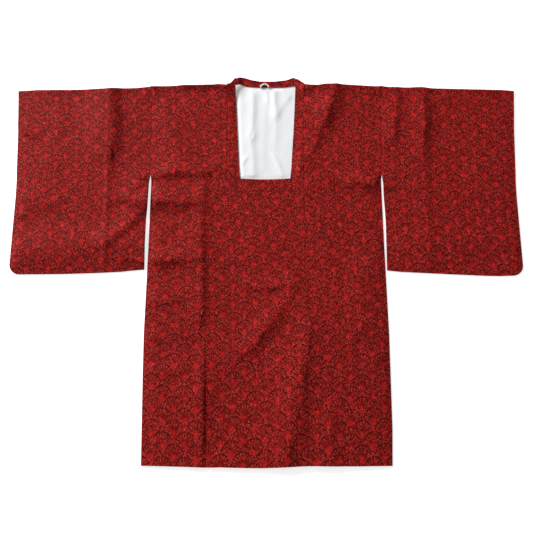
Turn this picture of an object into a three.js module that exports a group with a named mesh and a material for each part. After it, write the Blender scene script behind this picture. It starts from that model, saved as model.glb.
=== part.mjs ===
// A michiyuki, a lined Japanese over-coat with a square neck, laid flat on its back with the
// front up and both sleeves spread. Millimetres, +Z up, +Y towards the collar, +X towards the
// wearer's left sleeve. Every piece is a thin wall of cloth, and the pieces lie on each other.
//
// In the plan of the coat "across" runs from the centre back to either side, and "down" runs
// from the shoulder fold to the hem. The wearer's right side has side = -1, the left side = 1.

import * as THREE from 'three';

// ---- cloth ----
const CLOTH = 1.5; // outer cloth and its lining, pressed together
const LINING = 1.0; // the white back lining, where it shows in the neck
const SEAM_GAP = 0.3; // room left between two pieces
const HALF_SEAM = SEAM_GAP / 2;

// ---- body ----
const HEM_DOWN = 954; // hem below the shoulder fold, at the side seams
const HEM_BOW = 5; // how much lower the hem hangs at the centre
const BACK_HEM_SHORT = 2; // the back is tucked under by this much at the hem
const SIDE_HALF_WIDTH = 290; // centre back to the side seam, about half way down
const SHOULDER_RISE = 5; // the shoulder fold stands this far up the plan beside the neck
const SHOULDER_SLOPE = { from: 200, run: 90 }; // where it comes down to the sleeve
const SLEEVE_JOIN = -1; // the shoulder fold where body and sleeve meet
const SOFT_EDGE = 38; // how far in from a closed edge the upper cloth has risen

// ---- how the fronts lap ----
const LAP_LIMIT = 152; // an overlap panel reaches no further past the centre than this
const LAP_RUN = 40; // the left front comes down off the panel's edge over this width
const RIGHT_FOLDS_RUN = 25; // the right front's folds fade out over this towards the lap

// ---- neck ----
const BAND_OUTER = 97; // outer edge of the neck band, and the seam of the overlap panel
const NECK_DOWN = 257; // square bottom of the neck
const NECK_BOW = 4; // the bottom edge bows down by this in the middle
const NECK_BOTTOM_HALF = 63.5; // half width of the neck at its bottom
const BAND_WIDTH = 35; // the band under the neck, from top to bottom
const COLLAR_TOP = -25; // the folded band stands this far above the shoulder fold
const COLLAR_STAND = { rise: 3.4, from: -12, run: 62 }; // the band rises over the shoulder fold
const BAND_FLARE = { out: 4, run: 70 }; // and turns out a little there
const BACK_BAND = { half: 94, rise: 1.6, run: 22, levelTo: 45, fadeRun: 30 }; // behind the neck

// ---- back lining ----
const LINING_SIZE = { half: 91, top: -2, bottom: 325 };
const LINING_EDGE = 22; // its swells fade out over this towards the band

// ---- sleeves ----
const SLEEVE_CORNER = 26; // radius of the lower outer corner
const CUFF_OPEN_DOWN = 245; // the cuff is open from the top fold down to here
const CUFF_LOFT = 12; // how much less the two walls come together at the open cuff

// ---- greatest distances between grid lines of each kind of piece ----
const PITCH = {
  back: { across: 60, down: 68 },
  lining: { across: 15, down: 27 },
  front: { across: 17, down: 38 },
  overlapOver: { across: 18, down: 36 },
  overlapHidden: { across: 30, down: 60 },
  band: { across: 11, along: 19 },
  backBand: { across: 9, along: 13 },
  sleeve: { across: 20, down: 39 },
};
const CORNER_ROWS = [0.35, 0.7, 0.9, 1]; // extra rows down a sleeve's rounded corner
const LOOP_STEPS = 14;

// ---- hanger loop, a white cord sewn in at the centre back of the neck ----
const LOOP = { cord: 4.4, halfWidth: 12, height: 13, centreAcross: -4, footDown: 7 };

// Half width of the body, armhole first and then the side seam.
const SIDE_SEAM = [
  { down: -10, across: 296 },
  { down: 120, across: 295 },
  { down: 243, across: 292 },
  { down: 262, across: 288 },
  { down: 440, across: 287.5 },
  { down: 650, across: SIDE_HALF_WIDTH },
  { down: 800, across: 289.5 },
  { down: 960, across: 287 },
];

// Inner (armhole and open) edge and outer (cuff) edge of a sleeve.
const SLEEVE_EDGES = [
  { down: -10, inner: 296, outer: 646 },
  { down: 44, inner: 295.6, outer: 642 },
  { down: 123, inner: 295, outer: 636 },
  { down: 243, inner: 292, outer: 630 },
  { down: 266, inner: 295.5, outer: 629 },
  { down: 300, inner: 298, outer: 628 },
  { down: 510, inner: 298.5, outer: 628.5 },
];

// The top fold of each sleeve and its bottom seam, from the armhole to the cuff.
const SLEEVE_LENGTHS = [
  { across: 292, rightTop: -1, leftTop: -1, bottom: 489.5 },
  { across: 330, rightTop: 3, leftTop: -2, bottom: 492 },
  { across: 375, rightTop: 5.5, leftTop: -3.5, bottom: 495.5 },
  { across: 402, rightTop: 3.5, leftTop: -3.5, bottom: 497.5 },
  { across: 460, rightTop: 6.5, leftTop: -1, bottom: 500.5 },
  { across: 540, rightTop: 10.5, leftTop: 3, bottom: 503.5 },
  { across: 646, rightTop: 16, leftTop: 10, bottom: 506 },
];

// The neck side of the band, from its peak behind the shoulder down to the square corner.
const NECK_EDGE = [
  { down: -25, across: 71 },
  { down: -18, across: 77.5 },
  { down: -2, across: 79.5 },
  { down: 56, across: 77 },
  { down: 123, across: 73.5 },
  { down: 178, across: 70 },
  { down: 233, across: 66.5 },
  { down: NECK_DOWN, across: NECK_BOTTOM_HALF },
];

// The upper outline of the folded band, from the centre back to the shoulder.
const COLLAR_OUTLINE = [
  { across: 0, top: -13 },
  { across: 20, top: -14 },
  { across: 42, top: -18 },
  { across: 60, top: -24 },
  { across: 68, top: COLLAR_TOP },
  { across: 78, top: -19.5 },
  { across: 92, top: -11.5 },
  { across: 103, top: -6 },
];

// The lower edge of the band behind the neck, where it is sewn to the lining.
const COLLAR_BASE = [
  { across: 0, down: 5 },
  { across: 40, down: 3.5 },
  { across: 80, down: -3 },
  { across: 95, down: -5 },
];

// Free edge of an overlap panel, measured past the centre line.
const OVERLAP_EDGE = [
  { down: 257, across: 150 },
  { down: 440, across: 147 },
  { down: 690, across: 142 },
  { down: 960, across: 136 },
];

// The largest folds that stand up in the upper cloth. Each is a soft ridge along a line in the
// plan, from and to as [across, down]; across is negative on the wearer's right side.
const FOLDS = [
  { name: 'right sleeve crease', from: [-402, 0], to: [-392, 230], width: 20, rise: 3.2 },
  { name: 'right sleeve tail', from: [-392, 250], to: [-384, 480], width: 22, rise: 1.5 },
  { name: 'left sleeve inner crease', from: [343, 15], to: [325, 170], width: 18, rise: 3.0 },
  { name: 'left sleeve outer crease', from: [418, 8], to: [405, 240], width: 20, rise: 3.0 },
  { name: 'left sleeve tail', from: [404, 270], to: [398, 480], width: 22, rise: 1.4 },
  { name: 'left shoulder drape', from: [166, 10], to: [112, 205], width: 26, rise: 3.2 },
  { name: 'left chest crease', from: [175, 268], to: [292, 290], width: 20, rise: 2.4 },
  { name: 'right chest crease', from: [-286, 258], to: [-170, 246], width: 20, rise: 2.4 },
  { name: 'right waist crease', from: [-280, 326], to: [-180, 330], width: 18, rise: 2.6 },
  { name: 'right hip crease', from: [-280, 474], to: [-185, 478], width: 18, rise: 2.6 },
  { name: 'centre diagonal', from: [46, 510], to: [-78, 700], width: 30, rise: 3.6 },
  { name: 'long front drape', from: [94, 560], to: [30, 880], width: 34, rise: 4.2 },
  { name: 'hem wave left', from: [140, 850], to: [136, 960], width: 24, rise: 2.6 },
  { name: 'hem wave centre', from: [-40, 860], to: [-52, 960], width: 36, rise: 2.2 },
  { name: 'left hip swell', from: [232, 470], to: [214, 640], width: 34, rise: 2.2 },
];
const HIGHEST_LIFT = 5;
const FOLD_END = 0.55; // a fold's height at its two ends, as a share of its height in the middle

// Soft swells of the back lining inside the neck.
const LINING_FOLDS = [
  { name: 'centre swell', from: [-14, 60], to: [-22, 225], width: 15, rise: 0.9 },
  { name: 'left swell', from: [38, 40], to: [26, 150], width: 13, rise: 0.7 },
];

// ---- colours and finishes ----
function clothFinish(name, color, roughness) {
  return new THREE.MeshStandardMaterial({ name, color, roughness, metalness: 0 });
}

const CREPE = clothFinish('red_crepe', 0x86241f, 0.85);
const SATIN = clothFinish('white_lining', 0xeeeff0, 0.55);
const CORD = clothFinish('white_cord', 0xf4f3ef, 0.7);

// ---- small helpers ----
const mix = (from, to, t) => from + (to - from) * t;
const clamp = (value) => Math.min(1, Math.max(0, value));

function ease(distance, run) {
  const t = clamp(distance / run);
  return t * t * (3 - 2 * t);
}

// Reads one column of a table by its key column, straight between its rows.
function lookUp(table, key, column, at) {
  const last = table.length - 1;
  if (at <= table[0][key]) return table[0][column];
  if (at >= table[last][key]) return table[last][column];
  const next = table.findIndex((row) => row[key] >= at);
  const low = table[next - 1];
  const high = table[next];
  return mix(low[column], high[column], (at - low[key]) / (high[key] - low[key]));
}

// Even stations from 0 to 1 for a piece of this length, no further apart than pitch.
function stations(length, pitch) {
  const count = Math.max(1, Math.round(length / pitch));
  return Array.from({ length: count + 1 }, (_, i) => i / count);
}

// ---- outlines ----
const sideSeam = (down) => lookUp(SIDE_SEAM, 'down', 'across', down);
const neckEdge = (down) => lookUp(NECK_EDGE, 'down', 'across', down);
const overlapEdge = (down) => lookUp(OVERLAP_EDGE, 'down', 'across', down);
const collarTop = (across) => lookUp(COLLAR_OUTLINE, 'across', 'top', Math.abs(across));
const collarBase = (across) => lookUp(COLLAR_BASE, 'across', 'down', Math.abs(across));

const bandOuter = (down) => BAND_OUTER + BAND_FLARE.out * (1 - ease(down, BAND_FLARE.run));

function shoulderFold(across) {
  const out = ease(Math.abs(across) - SHOULDER_SLOPE.from, SHOULDER_SLOPE.run);
  return mix(-SHOULDER_RISE, SLEEVE_JOIN, out);
}

function hem(across) {
  return HEM_DOWN + HEM_BOW * (1 - ease(Math.abs(across), SIDE_HALF_WIDTH));
}

function neckBottom(across) {
  return NECK_DOWN + NECK_BOW * (1 - clamp(Math.abs(across) / NECK_BOTTOM_HALF) ** 2);
}

// ---- heights ----
// How far the folds in a table lift the cloth at a place in the plan.
function ridges(folds, across, down) {
  let rise = 0;
  const place = new THREE.Vector2(across, down);
  for (const { from, to, width, rise: height } of folds) {
    const start = new THREE.Vector2(...from);
    const run = new THREE.Vector2(...to).sub(start);
    const along = clamp(place.clone().sub(start).dot(run) / run.lengthSq());
    const away = place.distanceTo(start.addScaledVector(run, along));
    const taper = FOLD_END + (1 - FOLD_END) * Math.sin(Math.PI * along);
    rise += height * taper * Math.exp(-((away / width) ** 2));
  }
  return rise;
}

const lift = (across, down) => Math.min(HIGHEST_LIFT, ridges(FOLDS, across, down));

// 0 along the shoulder fold and the side seams, 1 where the upper cloth lies freely.
function bodyEase(across, down) {
  const toSide = sideSeam(down) - Math.abs(across);
  const toShoulder = down - shoulderFold(across);
  return ease(Math.min(toSide, toShoulder), SOFT_EDGE);
}

const BACK_TOP = CLOTH;
const LINING_UNDERSIDE = BACK_TOP + SEAM_GAP;
const LINING_TOP = LINING_UNDERSIDE + LINING;
const FRONT_AT_SEAM = BACK_TOP + SEAM_GAP; // underside of a front where it is sewn to the back
const FRONT_FREE = LINING_TOP + SEAM_GAP; // underside of a front over the lining
const LAP_STEP = CLOTH + SEAM_GAP; // a panel on top of another is higher by this

// Underside of a front that is lifted so far over its lowest place.
function frontLayer(across, down, raised) {
  return mix(FRONT_AT_SEAM, FRONT_FREE + raised, bodyEase(across, down));
}

// What lies under an overlap panel is smooth, so that the folds above stay clear of it.
const hiddenLayer = (across, down) => frontLayer(across, down, 0);

// The right front carries its folds up to the free edge of the left overlap panel.
function rightFrontLayer(across, down) {
  const outsideLap = ease(-across - LAP_LIMIT, RIGHT_FOLDS_RUN);
  return frontLayer(across, down, lift(across, down) * outsideLap);
}

// The left overlap panel lies over the right front and the right overlap panel.
const overLayer = (across, down) => frontLayer(across, down, LAP_STEP + lift(across, down));

// The left front climbs from the back on to the edge of the right overlap panel.
function leftFrontLayer(across, down) {
  const ontoPanel = 1 - ease(across - LAP_LIMIT, LAP_RUN);
  const belowNeck = ease(down - (NECK_DOWN - 2 * LAP_RUN), 1.5 * LAP_RUN);
  return frontLayer(across, down, LAP_STEP * ontoPanel * belowNeck + lift(across, down));
}

// The band doesn't come down to the shoulder fold as the front beside it does.
function bandLayer(besideBand) {
  return (across, down) => {
    const stand = COLLAR_STAND.rise * (1 - ease(down - COLLAR_STAND.from, COLLAR_STAND.run));
    return Math.max(besideBand(across, down), FRONT_FREE) + stand;
  };
}

// ---- solids ----
// Collects points and outward faces, then makes a closed geometry of them.
class Shell {
  constructor(mirrored = false) {
    this.points = [];
    this.faces = [];
    this.mirrored = mirrored;
  }

  // A grid of points, rows by columns; place(u, v) gives [x, y, z].
  grid(us, vs, place) {
    return vs.map((v) => us.map((u) => {
      this.points.push(...place(u, v));
      return this.points.length / 3 - 1;
    }));
  }

  quad(a, b, c, d) {
    if (this.mirrored) this.faces.push(a, c, b, a, d, c);
    else this.faces.push(a, b, c, a, c, d);
  }

  // Faces over a grid whose rows run down the coat and whose columns run to +X.
  cover(grid, facingUp) {
    for (let row = 0; row + 1 < grid.length; row++) {
      for (let column = 0; column + 1 < grid[row].length; column++) {
        const near = [grid[row + 1][column], grid[row + 1][column + 1]];
        const far = [grid[row][column + 1], grid[row][column]];
        const corners = [...near, ...far];
        this.quad(...(facingUp ? corners : corners.reverse()));
      }
    }
  }

  geometry() {
    const geometry = new THREE.BufferGeometry();
    geometry.setAttribute('position', new THREE.Float32BufferAttribute(this.points, 3));
    geometry.setIndex(this.faces);
    geometry.computeVertexNormals();
    return geometry;
  }
}

// The border of a rows by columns grid, anticlockwise seen from above, as [row, column] pairs.
function borderOf(rows, columns) {
  const loop = [];
  for (let column = 0; column < columns; column++) loop.push([rows, column]);
  for (let row = rows; row > 0; row--) loop.push([row, columns]);
  for (let column = columns; column > 0; column--) loop.push([0, column]);
  for (let row = 0; row < rows; row++) loop.push([row, 0]);
  return loop;
}

// A flat panel of cloth. plan(u, v) gives its place as [across, down], and underside its height.
function panel({ us, vs, plan, underside, thickness, mirrored = false }) {
  const shell = new Shell(mirrored);
  const surface = (raise) => shell.grid(us, vs, (u, v) => {
    const [across, down] = plan(u, v);
    return [across, -down, underside(across, down) + raise];
  });
  const lower = surface(0);
  const upper = surface(thickness);
  shell.cover(upper, true);
  shell.cover(lower, false);
  const loop = borderOf(vs.length - 1, us.length - 1);
  loop.forEach(([row, column], i) => {
    const [nextRow, nextColumn] = loop[(i + 1) % loop.length];
    const next = [lower[nextRow][nextColumn], upper[nextRow][nextColumn]];
    shell.quad(lower[row][column], next[0], next[1], upper[row][column]);
  });
  return shell.geometry();
}

// A flattened tube: an under and an upper wall joined along the closed stretches of the border.
function flatTube({ us, vs, outerPlan, innerPlan, heights, isOpen, mirrored }) {
  const shell = new Shell(mirrored);
  const surface = (plan, height) => shell.grid(us, vs, (u, v) => {
    const [across, down] = plan(u, v);
    return [across, -down, height(across, down)];
  });
  const walls = {
    floor: surface(outerPlan, () => 0),
    insideFloor: surface(innerPlan, () => CLOTH),
    insideRoof: surface(innerPlan, heights),
    roof: surface(outerPlan, (across, down) => heights(across, down) + CLOTH),
  };
  shell.cover(walls.roof, true);
  shell.cover(walls.insideRoof, false);
  shell.cover(walls.insideFloor, true);
  shell.cover(walls.floor, false);

  const loop = borderOf(vs.length - 1, us.length - 1);
  const at = (wall, [row, column]) => walls[wall][row][column];
  const strip = (low, high, here, next) => {
    shell.quad(at(low, here), at(low, next), at(high, next), at(high, here));
  };
  loop.forEach((here, i) => {
    const next = loop[(i + 1) % loop.length];
    const before = loop[(i + loop.length - 1) % loop.length];
    const openHere = isOpen(here, next);
    if (openHere) {
      strip('floor', 'insideFloor', here, next);
      strip('insideRoof', 'roof', here, next);
    } else {
      strip('floor', 'roof', here, next);
      strip('insideRoof', 'insideFloor', here, next);
    }
    const end = ['floor', 'insideFloor', 'insideRoof', 'roof'].map((wall) => at(wall, here));
    if (isOpen(before, here) !== openHere) shell.quad(...(openHere ? end : end.reverse()));
  });
  return shell.geometry();
}

// ---- pieces ----
function piece(name, geometry, material) {
  const mesh = new THREE.Mesh(geometry, material);
  mesh.name = name;
  return mesh;
}

// Back panel of one side, from the centre-back seam to the side seam, flat on the surface.
function backPanel(name, side) {
  const plan = (u, v) => {
    const bottom = hem(u * SIDE_HALF_WIDTH) - BACK_HEM_SHORT;
    const down = mix(shoulderFold(u * SIDE_HALF_WIDTH), bottom, v);
    return [side * mix(HALF_SEAM, sideSeam(down), u), down];
  };
  const us = stations(SIDE_HALF_WIDTH, PITCH.back.across);
  const vs = stations(HEM_DOWN, PITCH.back.down);
  const geometry = panel({ us, vs, plan, underside: () => 0, thickness: CLOTH, mirrored: side < 0 });
  return piece(name, geometry, CREPE);
}

// White lining of the back, showing in the neck and tucked under the band and the fronts.
function backLining() {
  const { half, top, bottom } = LINING_SIZE;
  const plan = (u, v) => [mix(-half, half, u), mix(top, bottom, v)];
  const insideNeck = (across, down) => {
    const toBand = neckEdge(down) - Math.abs(across);
    return ease(Math.min(toBand, NECK_DOWN - down, down - collarBase(across)), LINING_EDGE);
  };
  const underside = (across, down) => {
    return LINING_UNDERSIDE + ridges(LINING_FOLDS, across, down) * insideNeck(across, down);
  };
  const us = stations(2 * half, PITCH.lining.across);
  const vs = stations(bottom - top, PITCH.lining.down);
  return piece('back_lining', panel({ us, vs, plan, underside, thickness: LINING }), SATIN);
}

// Front of one side, from the overlap panel and the neck band out to the side seam.
function frontPanel(name, side, underside) {
  const plan = (u, v) => {
    const nominal = mix(BAND_OUTER, SIDE_HALF_WIDTH, u);
    const down = mix(shoulderFold(nominal), hem(nominal), v);
    return [side * mix(bandOuter(down) + HALF_SEAM, sideSeam(down), u), down];
  };
  const us = stations(SIDE_HALF_WIDTH - BAND_OUTER, PITCH.front.across);
  const vs = stations(HEM_DOWN, PITCH.front.down);
  const geometry = panel({ us, vs, plan, underside, thickness: CLOTH, mirrored: side < 0 });
  return piece(name, geometry, CREPE);
}

// Overlap panel, from its seam on its own front across the centre to its free edge.
// side is the front that it belongs to.
function overlapPanel(name, side, underside, pitch) {
  const top = NECK_DOWN + BAND_WIDTH + HALF_SEAM;
  const plan = (u, v) => {
    const freeEdge = mix(-OVERLAP_EDGE[0].across, BAND_OUTER, u);
    const down = mix(top, hem(freeEdge), v);
    return [side * mix(-overlapEdge(down), BAND_OUTER - HALF_SEAM, u), down];
  };
  const us = stations(BAND_OUTER + OVERLAP_EDGE[0].across, pitch.across);
  const vs = stations(HEM_DOWN - top, pitch.down);
  const geometry = panel({ us, vs, plan, underside, thickness: CLOTH, mirrored: side < 0 });
  return piece(name, geometry, CREPE);
}

// The mitred corner of the band: the seam between its side and its bottom runs from the corner
// of the neck out to the corner of the overlap panel.
const mitre = (t) => [mix(NECK_BOTTOM_HALF, BAND_OUTER, t), mix(NECK_DOWN, NECK_DOWN + BAND_WIDTH, t)];

// Side of the neck band, from its fold behind the shoulder down to the mitre.
function bandSide(name, side, besideBand) {
  const plan = (u, v) => {
    const top = collarTop(mix(NECK_EDGE[0].across, bandOuter(0), u));
    const [, mitreDown] = mitre(u);
    const down = mix(top, mitreDown - SEAM_GAP, v);
    return [side * mix(neckEdge(down), bandOuter(down) - HALF_SEAM, u), down];
  };
  const underside = bandLayer(besideBand);
  const us = stations(BAND_WIDTH, PITCH.band.across);
  const vs = stations(NECK_DOWN, PITCH.band.along);
  const geometry = panel({ us, vs, plan, underside, thickness: CLOTH, mirrored: side < 0 });
  return piece(name, geometry, CREPE);
}

// Bottom of the neck band, on the top edge of an overlap panel.
function bandBottom(name, side, underside) {
  const freeEdge = -OVERLAP_EDGE[0].across;
  const plan = (u, v) => {
    const [mitreAcross] = mitre(v);
    const across = mix(freeEdge, mitreAcross - SEAM_GAP, u);
    const down = mix(neckBottom(across), NECK_DOWN + BAND_WIDTH - HALF_SEAM, v);
    return [side * across, down];
  };
  const us = stations(BAND_OUTER - freeEdge, PITCH.band.along);
  const vs = stations(BAND_WIDTH, PITCH.band.across);
  const geometry = panel({ us, vs, plan, underside, thickness: CLOTH, mirrored: side < 0 });
  return piece(name, geometry, CREPE);
}

// Underside of the band behind the neck, which rises from the lining's top edge to its fold.
function backBandLayer(across, down) {
  const towardsFold = ease(collarBase(across) - down, BACK_BAND.run);
  const behindNeck = 1 - ease(Math.abs(across) - BACK_BAND.levelTo, BACK_BAND.fadeRun);
  return FRONT_FREE + BACK_BAND.rise * towardsFold * behindNeck;
}

function bandBack() {
  const { half } = BACK_BAND;
  const plan = (u, v) => {
    const across = mix(-half, half, u);
    return [across, mix(collarTop(across) + 1, collarBase(across), v)];
  };
  const us = stations(2 * half, PITCH.backBand.along);
  const vs = stations(BAND_WIDTH, PITCH.backBand.across);
  const geometry = panel({ us, vs, plan, underside: backBandLayer, thickness: CLOTH });
  return piece('collar_back', geometry, CREPE);
}

// Sleeve: one length of cloth folded at the top and sewn along the bottom and the lower part of
// the outer edge, round the corner. The cuff and the whole inner edge are open.
function sleeve(name, side) {
  const topColumn = side < 0 ? 'rightTop' : 'leftTop';
  const topFold = (across) => lookUp(SLEEVE_LENGTHS, 'across', topColumn, across);
  const bottomSeam = (across) => lookUp(SLEEVE_LENGTHS, 'across', 'bottom', across);
  const edge = (column, down) => lookUp(SLEEVE_EDGES, 'down', column, down);
  const nominal = (u) => mix(SLEEVE_LENGTHS[0].across, SLEEVE_LENGTHS.at(-1).across, u);

  const place = (u, v, inset) => {
    const top = topFold(nominal(u)) + inset;
    const bottom = bottomSeam(nominal(u)) - inset;
    const down = mix(top, bottom, v);
    const toBottom = clamp((bottom - down) / SLEEVE_CORNER);
    const rounding = SLEEVE_CORNER * (1 - Math.sqrt(1 - (1 - toBottom) ** 2));
    const closedInset = down > CUFF_OPEN_DOWN ? inset : 0;
    const outer = edge('outer', down) - rounding - closedInset;
    return [side * mix(edge('inner', down) + SEAM_GAP, outer, u), down];
  };

  const heights = (across, down) => {
    const out = Math.abs(across);
    const toFold = Math.min(down - topFold(out), bottomSeam(out) - down);
    const toInner = out - edge('inner', down);
    const atCuff = CUFF_LOFT * (1 - ease(down - CUFF_OPEN_DOWN / 2, CUFF_OPEN_DOWN / 2));
    const toOuter = edge('outer', down) - out + atCuff;
    const free = ease(Math.min(toFold, toInner, toOuter), SOFT_EDGE);
    return mix(FRONT_AT_SEAM, FRONT_FREE + lift(across, down), free);
  };

  const length = SLEEVE_LENGTHS.at(-1).bottom;
  const us = stations(nominal(1) - nominal(0), PITCH.sleeve.across);
  const cornerStart = 1 - SLEEVE_CORNER / length;
  const straight = stations(length, PITCH.sleeve.down).map((v) => v * cornerStart);
  const vs = [...straight, ...CORNER_ROWS.map((share) => mix(cornerStart, 1, share))];

  const onInner = ([, column]) => column === 0;
  const onCuff = ([row, column]) => {
    return column === us.length - 1 && place(1, vs[row], 0)[1] <= CUFF_OPEN_DOWN;
  };
  const isOpen = (here, next) => (onInner(here) && onInner(next)) || (onCuff(here) && onCuff(next));
  const geometry = flatTube({
    us,
    vs,
    outerPlan: (u, v) => place(u, v, 0),
    innerPlan: (u, v) => place(u, v, CLOTH),
    heights,
    isOpen,
    mirrored: side < 0,
  });
  return piece(name, geometry, CREPE);
}

// Loop of white cord lying on the band behind the neck, its feet on the lining's top edge.
function hangerLoop() {
  const radius = LOOP.cord / 2;
  const overBand = CLOTH + 1.2 * SEAM_GAP + radius;
  const curve = new THREE.CatmullRomCurve3(stations(LOOP_STEPS, 1).map((t) => {
    const turn = Math.PI * (1 - t);
    const across = LOOP.centreAcross + LOOP.halfWidth * Math.cos(turn);
    const down = LOOP.footDown - LOOP.height * Math.sin(turn);
    return new THREE.Vector3(across, -down, backBandLayer(across, down) + overBand);
  }));
  const section = new THREE.Shape();
  section.absarc(0, 0, radius, 0, 2 * Math.PI);
  const geometry = new THREE.ExtrudeGeometry(section, {
    extrudePath: curve,
    steps: LOOP_STEPS,
    curveSegments: 4,
  });
  return piece('hanger_loop', geometry, CORD);
}

// ---- the coat ----
const coat = new THREE.Group();
coat.add(
  backPanel('back_right', -1),
  backPanel('back_left', 1),
  backLining(),
  frontPanel('front_right', -1, rightFrontLayer),
  frontPanel('front_left', 1, leftFrontLayer),
  overlapPanel('overlap_right', -1, hiddenLayer, PITCH.overlapHidden),
  overlapPanel('overlap_left', 1, overLayer, PITCH.overlapOver),
  bandBack(),
  bandSide('collar_right', -1, rightFrontLayer),
  bandSide('collar_left', 1, leftFrontLayer),
  bandBottom('collar_bottom_under', -1, hiddenLayer),
  bandBottom('collar_bottom', 1, overLayer),
  sleeve('sleeve_right', -1),
  sleeve('sleeve_left', 1),
  hangerLoop(),
);

// The part's origin is under the middle of the coat, on the surface that it lies on.
const middle = new THREE.Box3().setFromObject(coat).getCenter(new THREE.Vector3());
coat.position.set(-middle.x, -middle.y, 0);

const part = new THREE.Group();
part.add(coat);

export default part;
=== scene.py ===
"""A michiyuki, a lined Japanese over-coat with a square neck, laid flat with its front up.

Each piece of cloth is a thin shell on the form of its solid, with its creases laid in from listed tables.
The plan of the coat is in millimetres, as a cutter's is: "across" runs from the centre back
towards the wearer's left, and "down" from the shoulder fold to the hem. Meshes, properties and
everything that Blender or the frame is told are in metres.
"""

import math
from collections import namedtuple

import bpy
import numpy as np
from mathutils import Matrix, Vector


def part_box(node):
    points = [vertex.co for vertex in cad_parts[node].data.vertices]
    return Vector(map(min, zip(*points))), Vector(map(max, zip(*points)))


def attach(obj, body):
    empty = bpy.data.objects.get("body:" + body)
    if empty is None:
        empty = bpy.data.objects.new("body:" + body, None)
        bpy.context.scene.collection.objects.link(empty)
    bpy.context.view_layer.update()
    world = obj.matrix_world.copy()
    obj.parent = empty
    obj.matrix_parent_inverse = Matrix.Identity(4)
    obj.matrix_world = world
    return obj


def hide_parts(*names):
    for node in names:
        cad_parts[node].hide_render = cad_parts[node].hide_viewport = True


bl_info = {
    "name": "Michiyuki coat",
    "version": (1, 0, 0),
    "blender": (4, 5, 0),
    "location": "3D View > Sidebar > Coat",
    "description": "Makes a lined michiyuki coat laid flat, with its stage, light and camera",
    "category": "Object",
}

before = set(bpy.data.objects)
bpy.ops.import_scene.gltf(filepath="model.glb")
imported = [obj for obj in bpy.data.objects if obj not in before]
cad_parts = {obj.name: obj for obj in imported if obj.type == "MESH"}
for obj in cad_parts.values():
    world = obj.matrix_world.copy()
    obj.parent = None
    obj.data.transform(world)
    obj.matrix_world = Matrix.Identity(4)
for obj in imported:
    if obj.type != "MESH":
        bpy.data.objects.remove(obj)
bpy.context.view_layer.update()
MM = 0.001

# ---- plan of the coat, in millimetres ----
HEM_DOWN, HEM_BOW, BACK_HEM_SHORT = 954, 5, 2
SIDE_HALF_WIDTH, ARMHOLE_DOWN = 290, 243
SIDE_CLOSING = 8  # length over which the side closes below the armhole
SOFT_EDGE = 38  # how far in from a closed edge the upper cloth has risen
LAP_LIMIT, LAP_RUN = 152, 40  # where the left front comes down off its overlap panel
RIGHT_FOLDS_LIMIT, RIGHT_FOLDS_RUN = 136, 12  # where they fade out under the left overlap panel
BAND_OUTER, BAND_WIDTH = 97, 35
BAND_FLARE, BAND_FLARE_RUN = 4, 70
BAND_LEVEL_SHARE = 0.6  # over this share of its width, from the neck, the band joins its front
NECK_DOWN, NECK_BOW, NECK_BOTTOM_HALF = 257, 2.4, 63.5
NECK_SHIFT, NECK_SHIFT_WIDTH, NECK_SHIFT_RUN = -2.6, 130, 120  # the neck lies off the middle
STAND_RISE, STAND_FROM, STAND_RUN = {-1: 9, 1: 1}, -12, 62  # the band rises over the shoulder fold
BACK_BAND_HALF, BACK_BAND_RISE, BACK_BAND_RUN = 94, 1.6, 22
BACK_BAND_LEVEL, BACK_BAND_FADE = 45, 30
BAND_CORNER_FROM, BAND_CORNER_RUN = 54, 19  # the back band climbs to the side's end here
LINING_HALF, LINING_TOP_DOWN, LINING_BOTTOM_DOWN = 91, -4, 325
LINING_EDGE, LINING_HIGHEST = 11, 3  # over which its creases fade out, and how high they rise
SLEEVE_FROM, SLEEVE_TO, SLEEVE_CORNER = 292, 646, 26
CUFF_OPEN_DOWN, CUFF_CLOSING, CUFF_LOFT = 245, 10, 12
BOTTOM_ZONE = 60  # a sleeve's bottom turns under this close to its seam

# ---- how the shells are made, in millimetres ----
ROLL = 1.6  # radius of the turn of cloth at a fold or a closed seam
SEAM_GROOVE = 0.3
SEAM_DIP, SEAM_DIP_RUN = 0.35, 1.3  # how the cloth sinks beside a pressed seam
BACK_SEAM_SHARE = 0.8  # how deep the centre-back seam is beside the other seams
EDGE_LINES = (0, 0.3, 0.7, 1.2, 1.8, 2.6, 3.8)  # grid lines beside an edge
RIM_ROUNDING, LINING_RIM_ROUNDING = 0.35, 0.3
SMOOTH_BELOW, RIM_ABOVE = math.radians(50), math.radians(60)  # angles between faces

# ---- creases and soft waves, in millimetres ----
SOFT_LIFT, SOFTENING = 10, 3.5  # above this the lift flattens off, by so much at most
CREASE_ENDS = 0.75  # a crease's height at its two ends, as a share of its height in the middle
CREASE_WANDER, WANDER_SIZE = 2.5, 34  # how far a crease strays from its line, over what length
FOLD_RUN, SEAM_RUN = 3.5, 16  # how far in from a fold or a closed seam the creases have risen
# Waves: a row for each, of its seed, its share of the height and its size.
UPPER_WAVES = ((11, 1, 78), (12, 0.5, 36), (13, 0.22, 17))
LINING_WAVES, LINING_WAVE_HEIGHT = ((31, 1, 24), (32, 0.5, 11)), 0.12
GROOVE_WAVES, GROOVE_WAVE_HEIGHT = ((14, 1, 60),), 0.12
BACK_BAND_WAVE, BACK_BAND_WAVE_SIZE = 0.25, 14
DEEPEST_GROOVE, GROOVE_RUN = 1.1, 18  # of the underside, which is flat beside an edge
GROOVE_BY_LINING, LINING_CLEAR = 0.2, 30  # share of its depth that a groove has under the lining


def through(*points):
    """A plan line that runs straight between (place, value) points."""
    places, values = zip(*points)
    return lambda at: np.interp(at, places, values)


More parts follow.
